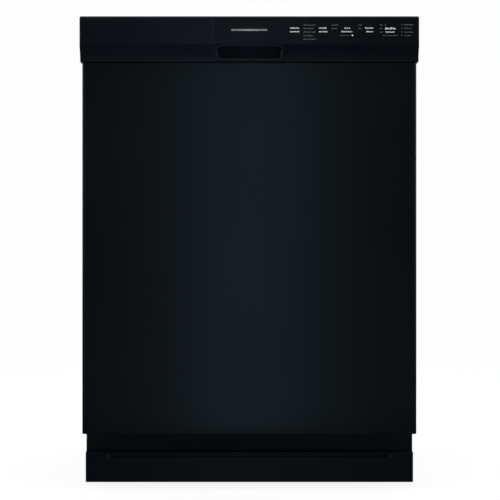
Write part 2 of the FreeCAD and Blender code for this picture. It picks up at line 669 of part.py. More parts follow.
def tub():
    """The moulded wash tub with its front flange, wheel ledges, sill and sump opening."""
    face = tub_front
    flange = block(-flange_half, flange_half, face, face + TUB_WALL, notch_top, flange_top)
    flange = rounded(flange, 8.0, lambda e: along(e, (0, 1, 0)) and e.Vertexes[0].Z > notch_top + 1)
    lower_flange = block(-notch_half, notch_half, face, face + TUB_WALL, tub_floor, notch_top)
    mouth = slab("y", face - 1, face + 10, (-tub_half, tub_half), (sill, tub_top), 12.0)
    shell = tub_shape(TUB_WALL).fuse([flange, lower_flange])
    inside = tub_shape(0).cut(block(-half, half, face - 5, face + TUB_WALL, 0, HEIGHT))
    slot = block(-12.5, 12.5, face - 1, face + 5, latch_z - 1.6, latch_z + 1.6)
    sump_hole = slab("z", tub_under - 1, tub_floor + 1, SUMP_X, SUMP_Y, 30.0)
    through = [(INLET_X, INLET_Y, INLET_R), (0, feed_y, FEED_R + GAP)]
    through += [(s * HEATER_LEAD_X, heater_front, HEATER_R + RUNNING) for s in (-1, 1)]
    holes = [cylinder(r, (x, y, tub_under - 1), (x, y, tub_floor + 1)) for x, y, r in through]
    ribs = []
    for k in range(-2, 3):
        x = (k * RIB_PITCH - RIB_T / 2, k * RIB_PITCH + RIB_T / 2)
        ribs.append(block(*x, face + 40, tub_back - 20, tub_top + 2, tub_top + 2 + RIB_HEIGHT))
        ribs.append(block(*x, tub_back + 2, tub_back + 2 + RIB_HEIGHT, ledge, tub_top - 20))
    shell = shell.fuse(ribs).cut([inside, mouth, slot, sump_hole] + holes)
    return shell.fuse(float_tube()).removeSplitter()


def gasket():
    """Rubber seal up both sides of the mouth and across its top, in front of the flange."""
    y0, y1 = liner_flange + GAP, tub_front
    outer = slab("y", y0, y1, (-tub_half - 1 - GASKET_WIDTH, tub_half + 1 + GASKET_WIDTH),
                 (sill - 60, tub_top + 1 + GASKET_WIDTH), 20.0)
    inner = slab("y", y0 - 1, y1 + 1, (-tub_half - 1, tub_half + 1), (sill - 50, tub_top + 1), 13.0)
    below = block(-half, half, y0 - 1, y1 + 1, 0, sill + 0.5)
    return outer.cut([inner, below])


def blanket():
    """Sound blanket over both sides and the top of the tub, a plain wrap for the padded cover."""
    y0, y1, low = tub_front + 22, tub_back - 12, notch_top + 20
    lift = TUB_WALL + RIB_HEIGHT + GAP
    inner_x, inner_z = tub_out + GAP, tub_top + lift
    outer = slab("y", y0, y1, (-inner_x - BLANKET_T, inner_x + BLANKET_T),
                 (low - 60, inner_z + BLANKET_T), TUB_CORNER_R + BLANKET_T)
    inner = slab("y", y0 - 1, y1 + 1, (-inner_x, inner_x), (low - 50, inner_z), TUB_CORNER_R)
    return outer.cut([inner, block(-half, half, y0 - 1, y1 + 1, low - 70, low)])


def mounting_brackets():
    """Folded steel tabs that screw the machine up into the counter."""
    def bracket(s):
        x = span(s, 205, 235)
        back = tub_front + TUB_WALL
        top = HEIGHT - 2
        upright = block(*x, back, back + SHEET, tub_top + 8, top)
        tab = block(*x, back, back + 40, top - SHEET, top)
        hole_x = (x[0] + x[1]) / 2
        hole = cylinder(2.6, (hole_x, back + 28, top - 5), (hole_x, back + 28, top + 1))
        return fuse(upright, tab).cut(hole)

    return both_sides(bracket)


# ---------------------------------------------------------------- base
def base_frame():
    """Folded steel base: two rails with hinge plates, two cross members, four foot sockets."""
    y0, y1 = front + ACCESS_RECESS + SHEET, tub_rear_face + 0.5
    rail_top = ledge - TUB_WALL
    parts = []
    for s in (-1, 1):
        side = span(s, rail_in, rail_out)
        parts.append(block(*side, y0, y1, BASE_BOTTOM, rail_top))
        parts.append(block(*span(s, tub_out - 17, rail_out), y0, y1, rail_top - SHEET, rail_top))
        parts.append(block(*span(s, rail_in - 60, rail_out), y0, y1, BASE_BOTTOM, BASE_BOTTOM + SHEET))
        parts.append(block(*side, hinge_y - 14, y0, hinge_z - 10, rail_top))
        pin_in = s * (arm_in - 1.6)
        parts.append(cylinder(HINGE_PIN_R, (pin_in, hinge_y, hinge_z), (s * rail_out, hinge_y, hinge_z)))
        parts.append(cylinder(6.0, (pin_in, hinge_y, hinge_z), (s * (arm_in - GAP), hinge_y, hinge_z)))
        for y in (leg_front, leg_rear):
            parts.append(cylinder(10, (s * leg_x, y, BASE_BOTTOM), (s * leg_x, y, BASE_BOTTOM + SOCKET_H)))
        hook_plate = span(s, rod_x - 4, rail_in)
        parts.append(block(*hook_plate, spring_rear, spring_rear + SHEET, hinge_z, rail_top - SHEET))
    for y in (y0, y1 - SHEET):
        parts.append(block(-rail_in, rail_in, y, y + SHEET, BASE_BOTTOM, BASE_BOTTOM + CROSS_H))
        inward = (y, y + 22) if y == y0 else (y1 - 22, y1)
        parts.append(block(-rail_in, rail_in, *inward, BASE_BOTTOM, BASE_BOTTOM + SHEET))
    bore_z = (BASE_BOTTOM - 1, BASE_BOTTOM + SOCKET_H + 1)
    bores = [
        cylinder(LEG_STEM_R + RUNNING, (s * leg_x, y, bore_z[0]), (s * leg_x, y, bore_z[1]))
        for s in (-1, 1)
        for y in (leg_front, leg_rear)
    ]
    screw_holes = kick_screw_holes(y0 - 1, y0 + 5)
    outlet_x, outlet_y, outlet_z = hose_path()[-1]
    saddle = block(outlet_x - 10, outlet_x + 10, y1 - SHEET, outlet_y - HOSE_R - 1,
                   BASE_BOTTOM, outlet_z - 4)
    return fuse(*parts, saddle).cut(bores + screw_holes).removeSplitter()


def leg(s, y):
    """One screw foot: a pad, a hexagon to turn it by, and a stem up through its socket."""
    x = s * leg_x
    pad = cylinder(LEG_PAD_R, (x, y, 0), (x, y, LEG_PAD_H))
    pad = rounded(pad, 1.5, lambda e: in_plane(e, "Z", LEG_PAD_H))
    nut_r = 9.0
    corners = [math.radians(60 * k) for k in range(6)]
    ring_points = [V(x + nut_r * math.cos(a), y + nut_r * math.sin(a), LEG_PAD_H) for a in corners]
    nut = Part.Face(Part.makePolygon(ring_points + ring_points[:1])).extrude(V(0, 0, 8))
    stem_top = BASE_BOTTOM + SOCKET_H + LEG_TRAVEL + 6
    stem = cylinder(LEG_STEM_R, (x, y, LEG_PAD_H), (x, y, stem_top))
    return fuse(pad, nut, stem)


def door_springs():
    """Balance springs beside the tub: a close-wound coil, a rod to each hinge arm, a rear hook."""
    tail_y, tail_z = tail_pin()

    def spring(s):
        x = s * rod_x
        eye = ring(6.0, 3.0 + GAP, (x - 1.8, tail_y, tail_z), (x + 1.8, tail_y, tail_z))
        rod = cylinder(1.5, (x, tail_y + 5, tail_z), (x, spring_rear - 105, tail_z))
        coil = cylinder(6.5, (x, spring_rear - 110, tail_z), (x, spring_rear - 12, tail_z))
        hook = cylinder(1.5, (x, spring_rear - 14, tail_z), (x, spring_rear - GAP, tail_z))
        return fuse(coil, rod, hook, eye)

    return both_sides(spring)


def toe_plate(face, width, z0, z1, fold):
    """A toe panel: a sheet with its top edge folded back and its upper corners softened."""
    plate = block(-width, width, face, face + SHEET, z0, z1)
    lip = block(-width, width, face, face + fold, z1 - SHEET, z1)
    body = fuse(plate, lip)
    top_front = lambda e: along(e, (1, 0, 0)) and in_plane(e, "Z", z1) and in_plane(e, "Y", face)
    return rounded(body, SHEET * 0.9, top_front)


def kick_screw_holes(y0, y1):
    """The clearance holes of the two toe screws, between those depths."""
    return [cylinder(2.6, (x, y0, KICK_SCREW_Z), (x, y1, KICK_SCREW_Z)) for x in kick_screw_x]


def kick_plate():
    """The outer toe kick, slotted so that it can be set to the floor."""
    face = kick_face
    plate = toe_plate(face, half - KICK_INSET, 2.0, KICK_HEIGHT, 9.0)
    lugs = [
        block(x - 14, x + 14, face + SHEET, access_face, KICK_SCREW_Z - 12, KICK_SCREW_Z + 6)
        for x in kick_screw_x
    ]
    return fuse(plate, *lugs).cut(kick_screw_holes(face - 1, access_face + 1))


def access_panel():
    """The inner toe panel behind the kick plate, closing the pump space."""
    panel = toe_plate(access_face, half - KICK_INSET, 24.0, hinge_z - ACCESS_DROP, SHEET)
    return panel.cut(kick_screw_holes(access_face - 1, access_face + 5))


def kick_screws():
    """Two hex washer head screws through kick plate and access panel."""
    face = kick_face
    at = lambda x, y: (x, y, KICK_SCREW_Z)
    screws = []
    for x in kick_screw_x:
        head = cylinder(5.0, at(x, face - 2.5), at(x, face))
        shank = cylinder(2.5, at(x, face - 1), at(x, access_face + 12))
        screws.append(fuse(head, shank))
    return screws


def door_screws():
    """Screws down both edges of the liner, heads on its rim."""
    screws = []
    for x, z in door_screw_places:
        head = cylinder(2.8, (x, liner_flange, z), (x, liner_flange + 1.6, z))
        shank = cylinder(DOOR_SCREW_R, (x, liner_flange - LINER_WALL - 6, z), (x, liner_flange, z))
        screws.append(fuse(head, shank))
    return screws


# ---------------------------------------------------------------- water system
def sump():
    """Moulded sump under the tub floor, with the lower arm's hub and the ports to both pumps."""
    w = SUMP_WALL
    rim_x, rim_y = (SUMP_X[0] - 10, SUMP_X[1] + 10), (SUMP_Y[0] - 10, SUMP_Y[1] + 10)
    rim = slab("z", tub_under - 4, tub_under, rim_x, rim_y, 36.0)
    bowl = slab("z", sump_floor, tub_under, SUMP_X, SUMP_Y, 30.0)
    inner_x, inner_y = (SUMP_X[0] + w, SUMP_X[1] - w), (SUMP_Y[0] + w, SUMP_Y[1] - w)
    hollow = slab("z", sump_floor + w, tub_under + 1, inner_x, inner_y, 30.0 - w)
    post = cylinder(14.0, (0, centre_y, sump_floor), (0, centre_y, tub_floor))
    arm_top = lower_arm_z + ARM_THICK
    hub = cylinder(HUB_R, (0, centre_y, sump_floor + w), (0, centre_y, arm_top + 8))
    crown = cylinder(13.0, (0, centre_y, arm_top + GAP), (0, centre_y, arm_top + 9))
    collar = cylinder(15.0, (0, centre_y, tub_floor - 1), (0, centre_y, lower_arm_z - GAP))
    port = cylinder(12.0, (PUMP_X1 - 1, centre_y, pump_z), (SUMP_X[0] + w, centre_y, pump_z))
    port_bore = cylinder(9.0, (PUMP_X1 - 2, centre_y, pump_z), (SUMP_X[0] + w + 1, centre_y, pump_z))
    drain = cylinder(8.0, (SUMP_X[1] - w, DRAIN_Y, DRAIN_Z), (SUMP_X[1] + 9, DRAIN_Y, DRAIN_Z))
    drain_bore = cylinder(5.0, (SUMP_X[1] - w - 1, DRAIN_Y, DRAIN_Z), (SUMP_X[1] + 10, DRAIN_Y, DRAIN_Z))
    body = fuse(rim, bowl).cut(hollow)
    return fuse(body, post, hub, collar, crown, port, drain).cut([port_bore, drain_bore])


def filter_plate():
    """The coarse filter: a dished plate of fine holes in the tub floor."""
    plate = slab("z", tub_floor + GAP, tub_floor + GAP + 2, (SUMP_X[0] - 12, SUMP_X[1] + 12),
                 (SUMP_Y[0] - 12, SUMP_Y[1] + 12), 38.0)
    hub_hole = cylinder(15.0 + GAP, (0, centre_y, tub_floor - 1), (0, centre_y, tub_floor + 5))
    well_z = (tub_floor - 1, tub_floor + 5)
    well = cylinder(FILTER_R + RUNNING, (FILTER_X, filter_y, well_z[0]), (FILTER_X, filter_y, well_z[1]))
    return plate.cut([hub_hole, well])


def filter_cylinder():
    """The lift-out fine filter: a ribbed open cup that locks with a quarter turn."""
    z0, z1 = sump_floor + SUMP_WALL + 3, tub_floor + 7
    at = lambda z: (FILTER_X, filter_y, z)
    body = ring(FILTER_R, FILTER_R - 2.5, at(z0), at(z1))
    floor = cylinder(FILTER_R, at(z0), at(z0 + 2.5))
    grip = block(FILTER_X - FILTER_R + 1, FILTER_X + FILTER_R - 1, filter_y - 2, filter_y + 2, z1 - 14, z1)
    return fuse(body, floor, grip)


def pump():
    """Circulation pump: a motor can with a volute that the impeller turns in."""
    at = lambda x: (x, centre_y, pump_z)
    can = cylinder(PUMP_R, at(PUMP_X0), at(PUMP_X1 - 34))
    can = rounded(can, 4.0, lambda e: abs(e.BoundBox.XMax - PUMP_X0) < 0.01)
    volute = cylinder(PUMP_R + 4, at(PUMP_X1 - 36), at(PUMP_X1 - 1))
    chamber = cylinder(26.0, at(PUMP_X1 - 30), at(PUMP_X1 - 4))
    shaft_hole = cylinder(4.0 + RUNNING, at(PUMP_X1 - 60), at(PUMP_X1 - 29))
    inlet = cylinder(9.0, at(PUMP_X1 - 5), at(PUMP_X1))
    feet = [
        block(x - 5, x + 5, centre_y - 24, centre_y + 24, BASE_BOTTOM - 6, pump_z - 20)
        for x in (PUMP_X0 + 30, PUMP_X1 - 50)
    ]
    return fuse(can, volute, *feet).cut([chamber, shaft_hole, inlet])


def impeller():
    """The pump's impeller: a disc with six vanes on a shaft."""
    at = lambda x: (x, centre_y, pump_z)
    disc = cylinder(24.0, at(PUMP_X1 - 28), at(PUMP_X1 - 25))
    shaft = cylinder(4.0, at(PUMP_X1 - 56), at(PUMP_X1 - 25))
    vanes = []
    for k in range(6):
        vane = block(PUMP_X1 - 26, PUMP_X1 - 14, centre_y - 1, centre_y + 1, pump_z + 4, pump_z + 23)
        vane.rotate(V(*at(0)), V(1, 0, 0), 60 * k)
        vanes.append(vane)
    hub = cylinder(6.0, at(PUMP_X1 - 26), at(PUMP_X1 - 13))
    return fuse(disc, shaft, hub, *vanes)


def drain_pump():
    """Small drain pump plugged into the side of the sump, with its outlet spigot."""
    at = lambda x: (x, DRAIN_Y, DRAIN_Z)
    body = cylinder(DRAIN_R, at(SUMP_X[1] + 9), at(DRAIN_X1))
    body = rounded(body, 3.0, lambda e: abs(e.BoundBox.XMin - DRAIN_X1) < 0.01)
    spigot_x = DRAIN_X1 - 14
    spigot_end = (spigot_x, DRAIN_Y + DRAIN_R + 10, DRAIN_Z)
    spigot = cylinder(8.0, (spigot_x, DRAIN_Y, DRAIN_Z), spigot_end)
    socket = cylinder(5.0, at(SUMP_X[1] + 8), at(SUMP_X[1] + 20))
    return fuse(body, spigot).cut(socket)


def hose_path():
    """Centre line of the drain hose: under the tub, up behind it in a high loop, down to the outlet."""
    x, y = DRAIN_X1 - 14, DRAIN_Y + DRAIN_R + 10
    behind = rear - HOSE_R - 1
    return [
        (x, y, DRAIN_Z),
        (x, behind, DRAIN_Z),
        (x, behind, HOSE_TOP),
        (x + HOSE_LOOP, behind, HOSE_TOP),
        (x + HOSE_LOOP, behind, OUTLET_Z),
    ]


def drain_hose():
    """Corrugated hose from the drain pump, with the fitting moulded on its end low at the rear."""
    return fuse(bent_tube(hose_path(), HOSE_R, HOSE_LOOP * 0.45), drain_outlet())


def drain_outlet():
    """The fitting at the hose's end, with a spigot to the side that the house drain clamps to."""
    x, y, z = hose_path()[-1]
    elbow_r = HOSE_R + 1
    shoulder_x, spigot_z = x - elbow_r - 1, z - 14
    elbow = cylinder(elbow_r, (x, y, z - 26), (x, y, z))
    shoulder = cylinder(HOSE_R, (shoulder_x, y, spigot_z), (x, y, spigot_z))
    spigot = cylinder(SPIGOT_R, (shoulder_x - SPIGOT_LENGTH, y, spigot_z), (x, y, spigot_z))
    return fuse(elbow, shoulder, spigot)


def inlet_valve():
    """Fill valve behind the access panel: a body, a solenoid and a threaded inlet."""
    y = access_face + 30
    body = block(INLET_X - 16, INLET_X + 16, y, y + 30, 64, 96)
    solenoid = cylinder(14.0, (INLET_X + 14, y + 15, 80), (INLET_X + 46, y + 15, 80))
    thread = cylinder(9.0, (INLET_X, y + 15, 64), (INLET_X, y + 15, 48))
    plate = block(INLET_X - 20, INLET_X + 20, y - 2, y, 60, 100)
    return fuse(body, solenoid, thread, plate)


def inlet_hose():
    """Fill hose from the valve to its spout in the tub floor."""
    y = access_face + 60
    return bent_tube([(INLET_X, y, 80), (INLET_X, INLET_Y, 80), (INLET_X, INLET_Y, tub_floor + 6)],
                     INLET_R - 0.5, (tub_floor + 6 - 80) * 0.45)


def heater():
    """Sheathed heating element: one open loop low in the tub, its ends through the floor."""
    z, x, y0, y1 = tub_floor + 13, 205.0, heater_front, tub_back - 78
    lead = tub_floor - 14
    a, b = HEATER_LEAD_X, -HEATER_LEAD_X
    left = [(b, y0, lead), (b, y0, z), (-x, y0, z), (-x, y1, z)]
    right = [(x, y1, z), (x, y0, z), (a, y0, z), (a, y0, lead)]
    return bent_tube(left + right, HEATER_R, 11.0)


def feed_tube():
    """Water pipe from the sump, up the rear wall past the docking port, along the ceiling to the
    top nozzle."""
    low, high = feed_low, tub_top - FEED_R - 4
    route = [(0, SUMP_Y[1], low), (0, feed_y, low), (0, feed_y, high), (0, centre_y, high)]
    path = bent_tube(route, FEED_R, 25.0)
    port = cylinder(8.0, (0, feed_y, manifold_z), (0, rack_rear + 8, manifold_z))
    nozzle = cylinder(22.0, (0, centre_y, tub_top - 30), (0, centre_y, tub_top - 8))
    nozzle = rounded(nozzle, 6.0, lambda e: e.BoundBox.ZMax < tub_top - 29.9)
    return fuse(path, port, nozzle)


def manifold():
    """Pipe under the upper rack from the docking port to the middle arm's hub."""
    pipe = cylinder(8.0, (0, centre_y, manifold_z), (0, rack_rear + 8 - GAP, manifold_z))
    drop = cylinder(14.0, (0, centre_y, MID_ARM_Z + ARM_THICK + GAP), (0, centre_y, manifold_z + 8))
    hub = cylinder(HUB_R, (0, centre_y, MID_ARM_Z - 6), (0, centre_y, manifold_z))
    crown = cylinder(13.0, (0, centre_y, MID_ARM_Z - 8), (0, centre_y, MID_ARM_Z - GAP))
    return fuse(pipe, drop, hub, crown)


def spray_arm(z, reach):
    """A flattened two-bladed arm, bored for its hub."""
    w = ARM_WIDTH / 2
    blade_y = (centre_y - w * 0.62, centre_y + w * 0.62)
    blade = slab("z", z, z + ARM_THICK, (-reach, reach), blade_y, w * 0.6)
    blade = rounded(blade, 3.0, lambda e: in_plane(e, "Z", z + ARM_THICK))
    middle = cylinder(w, (0, centre_y, z), (0, centre_y, z + ARM_THICK))
    bore = cylinder(HUB_R + RUNNING, (0, centre_y, z - 1), (0, centre_y, z + ARM_THICK + 1))
    return fuse(blade, middle).cut(bore)


def float_dome():
    """Overfill float: a domed cap over a guide tube in the tub floor."""
    at = lambda z: (FLOAT_X, FLOAT_Y, z)
    cap = ring(17.0, 14.0, at(tub_floor + GAP), at(tub_floor + 34))
    top = cylinder(17.0, at(tub_floor + 31), at(tub_floor + 36))
    top = rounded(top, 4.0, lambda e: e.BoundBox.ZMin > tub_floor + 35.9)
    stem = cylinder(4.0, at(tub_floor + 6), at(tub_floor + 32))
    return fuse(cap, top, stem)


def float_tube():
    """The guide tube that the float rides on, moulded with the tub floor."""
    at = lambda z: (FLOAT_X, FLOAT_Y, z)
    return ring(10.0, 6.0, at(tub_floor - 1), at(tub_floor + 16))


# ---------------------------------------------------------------- racks
uprights = spread(rack_front, rack_rear, 11)
shelf_pivots = (uprights[2], uprights[7])


def wire(a, b, r=WIRE_R):
    """One straight coated wire."""
    return cylinder(r, a, b)


def basket(x_half, floor_z, rim_z):
    """The wires of an open rack: a grid floor, uprights all round, two rim wires."""
    wires = []
    weld = 0.3
    cross_z = floor_z + 2 * WIRE_R - weld
    y0, y1 = rack_front, rack_rear
    xs = spread(-x_half, x_half, 9)
    for x in xs:
        wires.append(wire((x, y0, floor_z), (x, y1, floor_z)))
    for y in uprights:
        wires.append(wire((-x_half, y, cross_z), (x_half, y, cross_z)))
    for x in xs:
        for y in (y0, y1):
            wires.append(wire((x, y, floor_z), (x, y, rim_z)))
    for y in uprights[1:-1]:
        for x in (-x_half, x_half):
            wires.append(wire((x, y, floor_z), (x, y, rim_z)))
    for z in (rim_z, floor_z + (rim_z - floor_z) * 0.5):
        out = WIRE_R + FRAME_WIRE_R - weld if z != rim_z else 0
        for y in (y0 - out, y1 + out):
            wires.append(wire((-x_half - out, y, z), (x_half + out, y, z), FRAME_WIRE_R))
        for x in (-x_half - out, x_half + out):
            wires.append(wire((x, y0 - out, z), (x, y1 + out, z), FRAME_WIRE_R))
    return wires


def tines(rows, ys, floor_z, height):
    """Rows of upright tines on the floor's cross wires."""
    return [wire((x, y, floor_z + 2 * WIRE_R), (x, y, floor_z + height)) for x in rows for y in ys]


def lower_rack():
    """Lower rack with plate tines, a clear bay for the cutlery basket, and four wheel axles."""
    wires = basket(lower_half, lower_floor, lower_rim)
    wires += tines(LOWER_TINES, uprights[1:-1], lower_floor, 88.0)
    for s in (-1, 1):
        for y in lower_wheel_y:
            outer_end = (s * (wheel_x1 + 1.5), y, lower_axle_z)
            wires.append(wire((s * lower_half, y, lower_axle_z), outer_end, 4.0))
            x = span(s, lower_half - 3.0, lower_half + 3.0)
            wires.append(block(*x, y - 9, y + 9, lower_axle_z - 7, lower_floor + 16))
    return wires


def lower_wheels(y):
    """A left and right pair of rack wheels on one axis."""
    z = lower_axle_z
    return [
        ring(LOWER_WHEEL_R, 4.0 + RUNNING, (s * wheel_x0, y, z), (s * wheel_x1, y, z))
        for s in (-1, 1)
    ]


def upper_rack():
    """Upper rack with cup tines, side plates that carry the wheels, and shelf pivots."""
    wires = basket(upper_half, UPPER_FLOOR, UPPER_RIM)
    wires += tines(UPPER_TINES, uprights[1:-1], UPPER_FLOOR, 62.0)
    for s in (-1, 1):
        out = upper_half + WIRE_R + FRAME_WIRE_R * 2
        plate_y = (upper_wheel_y[0] - 20, upper_wheel_y[1] + 14)
        wires.append(block(*span(s, out, out + 2.5), *plate_y, rail_mid_z - 11, rail_mid_z + 11))
        for y in upper_wheel_y:
            outer_end = (s * (upper_wheel_x1 + 1), y, rail_mid_z)
            wires.append(wire((s * (out + 2), y, rail_mid_z), outer_end, 3.0))
        for y in shelf_pivots:
            x = span(s, shelf_x + SHELF_WIRE_R + GAP, upper_half + 1)
            wires.append(block(*x, y - 3, y + 3, shelf_z - 5, shelf_z + 5))
    return wires


def upper_wheels(y):
    """A left and right pair of wheels inside the rails."""
    z = rail_mid_z
    return [
        ring(UPPER_WHEEL_R, 3.0 + RUNNING, (s * upper_wheel_x0, y, z), (s * upper_wheel_x1, y, z))
        for s in (-1, 1)
    ]


def cup_shelf(s):
    """A fold-up wire shelf along one side of the upper rack, lying level when down."""
    x0, x1 = s * shelf_x, s * (shelf_x - SHELF_REACH)
    y0, y1 = -SHELF_HALF_LENGTH, SHELF_HALF_LENGTH
    wires = [wire((x, y0, shelf_z), (x, y1, shelf_z), SHELF_WIRE_R) for x in (x0, x1)]
    for y in spread(y0, y1, 9):
        wires.append(wire((x0, y, shelf_z), (x1, y, shelf_z)))
    return wires


def upper_rails():
    """Steel channels, open inward, that carry the upper rack and slide out with it."""
    def rail(s):
        y0, y1 = rail_front, rail_back
        z0, z1 = RAIL_Z, RAIL_Z + RAIL_HEIGHT
        web = block(*span(s, rail_x1 - RAIL_SHEET, rail_x1), y0, y1, z0, z1)
        top = block(*span(s, rail_x0, rail_x1), y0, y1, z1 - RAIL_SHEET, z1)
        bottom = block(*span(s, rail_x0, rail_x1), y0, y1, z0, z0 + RAIL_SHEET)
        stop = block(*span(s, rail_x0, rail_x1), y1 - 2, y1, z0, z1)
        cap = block(*span(s, rail_x0, rail_x1), y0, y0 + 2, z0, z1)
        return fuse(web, top, bottom, stop, cap)

    return both_sides(rail)


def rail_guides():
    """Nylon blocks on the tub's side walls that hold the rails and let them slide."""
    slack, rail_top = GAP, RAIL_Z + RAIL_HEIGHT
    guides = []
    for s in (-1, 1):
        for y in (rail_front + 16, rail_front + 105):
            body = block(*span(s, rail_x0 - 2, tub_half), y, y + 34, RAIL_Z - 7, rail_top + 7)
            channel = block(*span(s, rail_x0 - slack, rail_x1 + slack), y - 1, y + 35,
                            RAIL_Z - slack, rail_top + slack)
            mouth = block(*span(s, rail_x0 - 3, rail_x1), y - 1, y + 35,
                          RAIL_Z + RAIL_SHEET, rail_top - RAIL_SHEET)
            guides.append(body.cut([channel, mouth]))
    return guides


def cutlery_basket():
    """Moulded cutlery basket of six bays with a carrying handle."""
    w = 2.5
    outer = slab("z", basket_z0, basket_z1, BASKET_X, BASKET_Y, 8.0)
    bay_x = (BASKET_X[0] + w, BASKET_X[1] - w)
    pitch = (BASKET_Y[1] - BASKET_Y[0] - w) / 6
    bays = []
    for k in range(6):
        y0 = BASKET_Y[0] + w + k * pitch
        bays.append(slab("z", basket_z0 + w, basket_z1 + 1, bay_x, (y0, y0 + pitch - w), 4.0))
    middle = (BASKET_X[0] + BASKET_X[1]) / 2
    posts = [
        block(middle - 9, middle + 9, y - 2, y + 2, basket_z1 - 30, basket_z1 + 56)
        for y in (-pitch, pitch)
    ]
    bar = slab("y", -pitch - 2, pitch + 2, (middle - 9, middle + 9), (basket_z1 + 46, basket_z1 + 56), 4.0)
    return fuse(outer.cut(bays), *posts, bar)


# ---------------------------------------------------------------- every node
os.makedirs("parts", exist_ok=True)

write("door_outer_panel", door_skin())
write("door_inner_liner", door_liner())
write("door_seal", door_seal())
write("door_screws", *door_screws())
write("hinge_arms", *hinge_arms())
write("detergent_dispenser", dispenser_body())
write("detergent_cover", dispenser_cover())
write("rinse_aid_cap", rinse_cap())
write("vent_cover", vent_cover())

write("console", console())
write("control_overlay", overlay())
write("handle_pocket", handle_pocket())
write("control_board", control_board())
for key_name, key_x, key_width in KEYS:
    write("key_" + key_name, key(key_x, key_width))
write("latch_housing", latch_body())
write("latch_hook", latch_hook())
write("strike_plate", strike())

write("tub", tub())
write("tub_gasket", gasket())
write("insulation_blanket", blanket())
write("mounting_brackets", *mounting_brackets())

write("base_frame", base_frame())
for foot_name, foot_side, foot_y in (
    ("front_left", -1, leg_front),
    ("front_right", 1, leg_front),
    ("rear_left", -1, leg_rear),
    ("rear_right", 1, leg_rear),
):
    write("leg_" + foot_name, leg(foot_side, foot_y))
write("door_springs", *door_springs())
write("kick_plate", kick_plate())
write("kick_screws", *kick_screws())
write("access_panel", access_panel())

write("sump", sump())
write("filter_plate", filter_plate())
write("filter_cylinder", filter_cylinder())
write("circulation_pump", pump())
write("pump_impeller", impeller())
write("drain_pump", drain_pump())
write("drain_hose", drain_hose())
write("inlet_valve", inlet_valve())
write("inlet_hose", inlet_hose())
write("heating_element", heater())
write("feed_tube", feed_tube())
write("lower_spray_arm", spray_arm(lower_arm_z, ARM_REACH))
write("middle_spray_arm", spray_arm(MID_ARM_Z, ARM_REACH - 24))
write("rack_manifold", manifold())
write("float_dome", float_dome())

write("lower_rack", *lower_rack())
write("lower_wheels_front", *lower_wheels(lower_wheel_y[0]))
write("lower_wheels_rear", *lower_wheels(lower_wheel_y[1]))
write("cutlery_basket", cutlery_basket())
write("upper_rack", *upper_rack())
write("upper_wheels_front", *upper_wheels(upper_wheel_y[0]))
write("upper_wheels_rear", *upper_wheels(upper_wheel_y[1]))
write("upper_rails", *upper_rails())
write("rail_guides", *rail_guides())
write("cup_shelf_left", *cup_shelf(-1))
write("cup_shelf_right", *cup_shelf(1))
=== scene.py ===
"""Looks for the built-in dishwasher: enamel, mouldings, prints, coated wire racks, hoses and padding."""
import random
from math import copysign, cos, hypot, pi, radians, sin, sqrt, tan

import bmesh
import bpy
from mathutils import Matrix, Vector, noise


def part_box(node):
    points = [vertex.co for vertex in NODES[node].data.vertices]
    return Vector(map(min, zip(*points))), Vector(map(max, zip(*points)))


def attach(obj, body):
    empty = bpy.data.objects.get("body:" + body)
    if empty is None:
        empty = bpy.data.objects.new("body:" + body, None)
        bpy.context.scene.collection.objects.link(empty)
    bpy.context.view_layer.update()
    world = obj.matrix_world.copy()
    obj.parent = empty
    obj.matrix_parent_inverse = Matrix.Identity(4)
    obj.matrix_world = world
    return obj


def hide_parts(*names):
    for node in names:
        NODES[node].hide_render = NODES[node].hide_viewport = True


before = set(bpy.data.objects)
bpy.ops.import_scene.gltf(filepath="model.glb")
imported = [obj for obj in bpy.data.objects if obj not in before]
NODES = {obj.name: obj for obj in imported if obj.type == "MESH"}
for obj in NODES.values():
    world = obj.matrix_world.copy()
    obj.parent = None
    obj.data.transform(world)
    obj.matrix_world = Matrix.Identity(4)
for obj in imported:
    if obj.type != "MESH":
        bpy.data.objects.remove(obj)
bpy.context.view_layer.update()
MM = 0.001
RIGHT, BACK, UP = (1, 0, 0), (0, 1, 0), (0, 0, 1)
COOL = (0.55, 0.85, 1.0)     # tint of the gloss on black plastic
SEAMS = (-0.0612, 0.0612)    # the two seams beside the control band's centre insert
SEAM_HALF = 0.00045
SEAM_LOW = 0.7995            # the seams end here, where the scoop begins
scene = bpy.context.scene
rng = random.Random(24)


# ---- materials
def put(node, **values):
    """Sets a node's inputs; an underscore stands for the space in an input's name."""
    for name, value in values.items():
        node.inputs[name.replace("_", " ")].default_value = value
    return node


def add(tree, kind, **values):
    """A new node with its inputs set."""
    return put(tree.nodes.new("ShaderNode" + kind), **values)


def shader(name, color, rough, metallic=0.0, coat=0.0, spec=0.5, sheen=0.0, tint=None):
    """A material, its node tree and its principled shader."""
    m = bpy.data.materials.new(name)
    m.use_nodes = True
    tree = m.node_tree
    p = put(tree.nodes["Principled BSDF"], Base_Color=(*color, 1), Roughness=rough, Metallic=metallic,
            Coat_Weight=coat, Coat_Roughness=0.05, Specular_IOR_Level=spec, Sheen_Weight=sheen)
    if tint:
        put(p, Specular_Tint=(*tint, 1))
    m.diffuse_color = (*color, 1)
    return m, tree, p


def link(tree, a, out, b, into):
    tree.links.new(a.outputs[out], b.inputs[into])


def times(color, gain):
    """A colour made darker or lighter, up to white."""
    return tuple(min(1.0, c * gain) for c in color)


def coords(tree, stretch=(1, 1, 1)):
    """Object coordinates in metres, stretched per axis."""
    tc = add(tree, "TexCoord")
    mp = add(tree, "Mapping", Scale=stretch)
    link(tree, tc, "Object", mp, "Vector")
    return mp


def noise_node(tree, place, scale, detail=4.0, rough=0.55):
    n = add(tree, "TexNoise", Scale=scale, Detail=detail, Roughness=rough)
    link(tree, place, "Vector", n, "Vector")
    return n


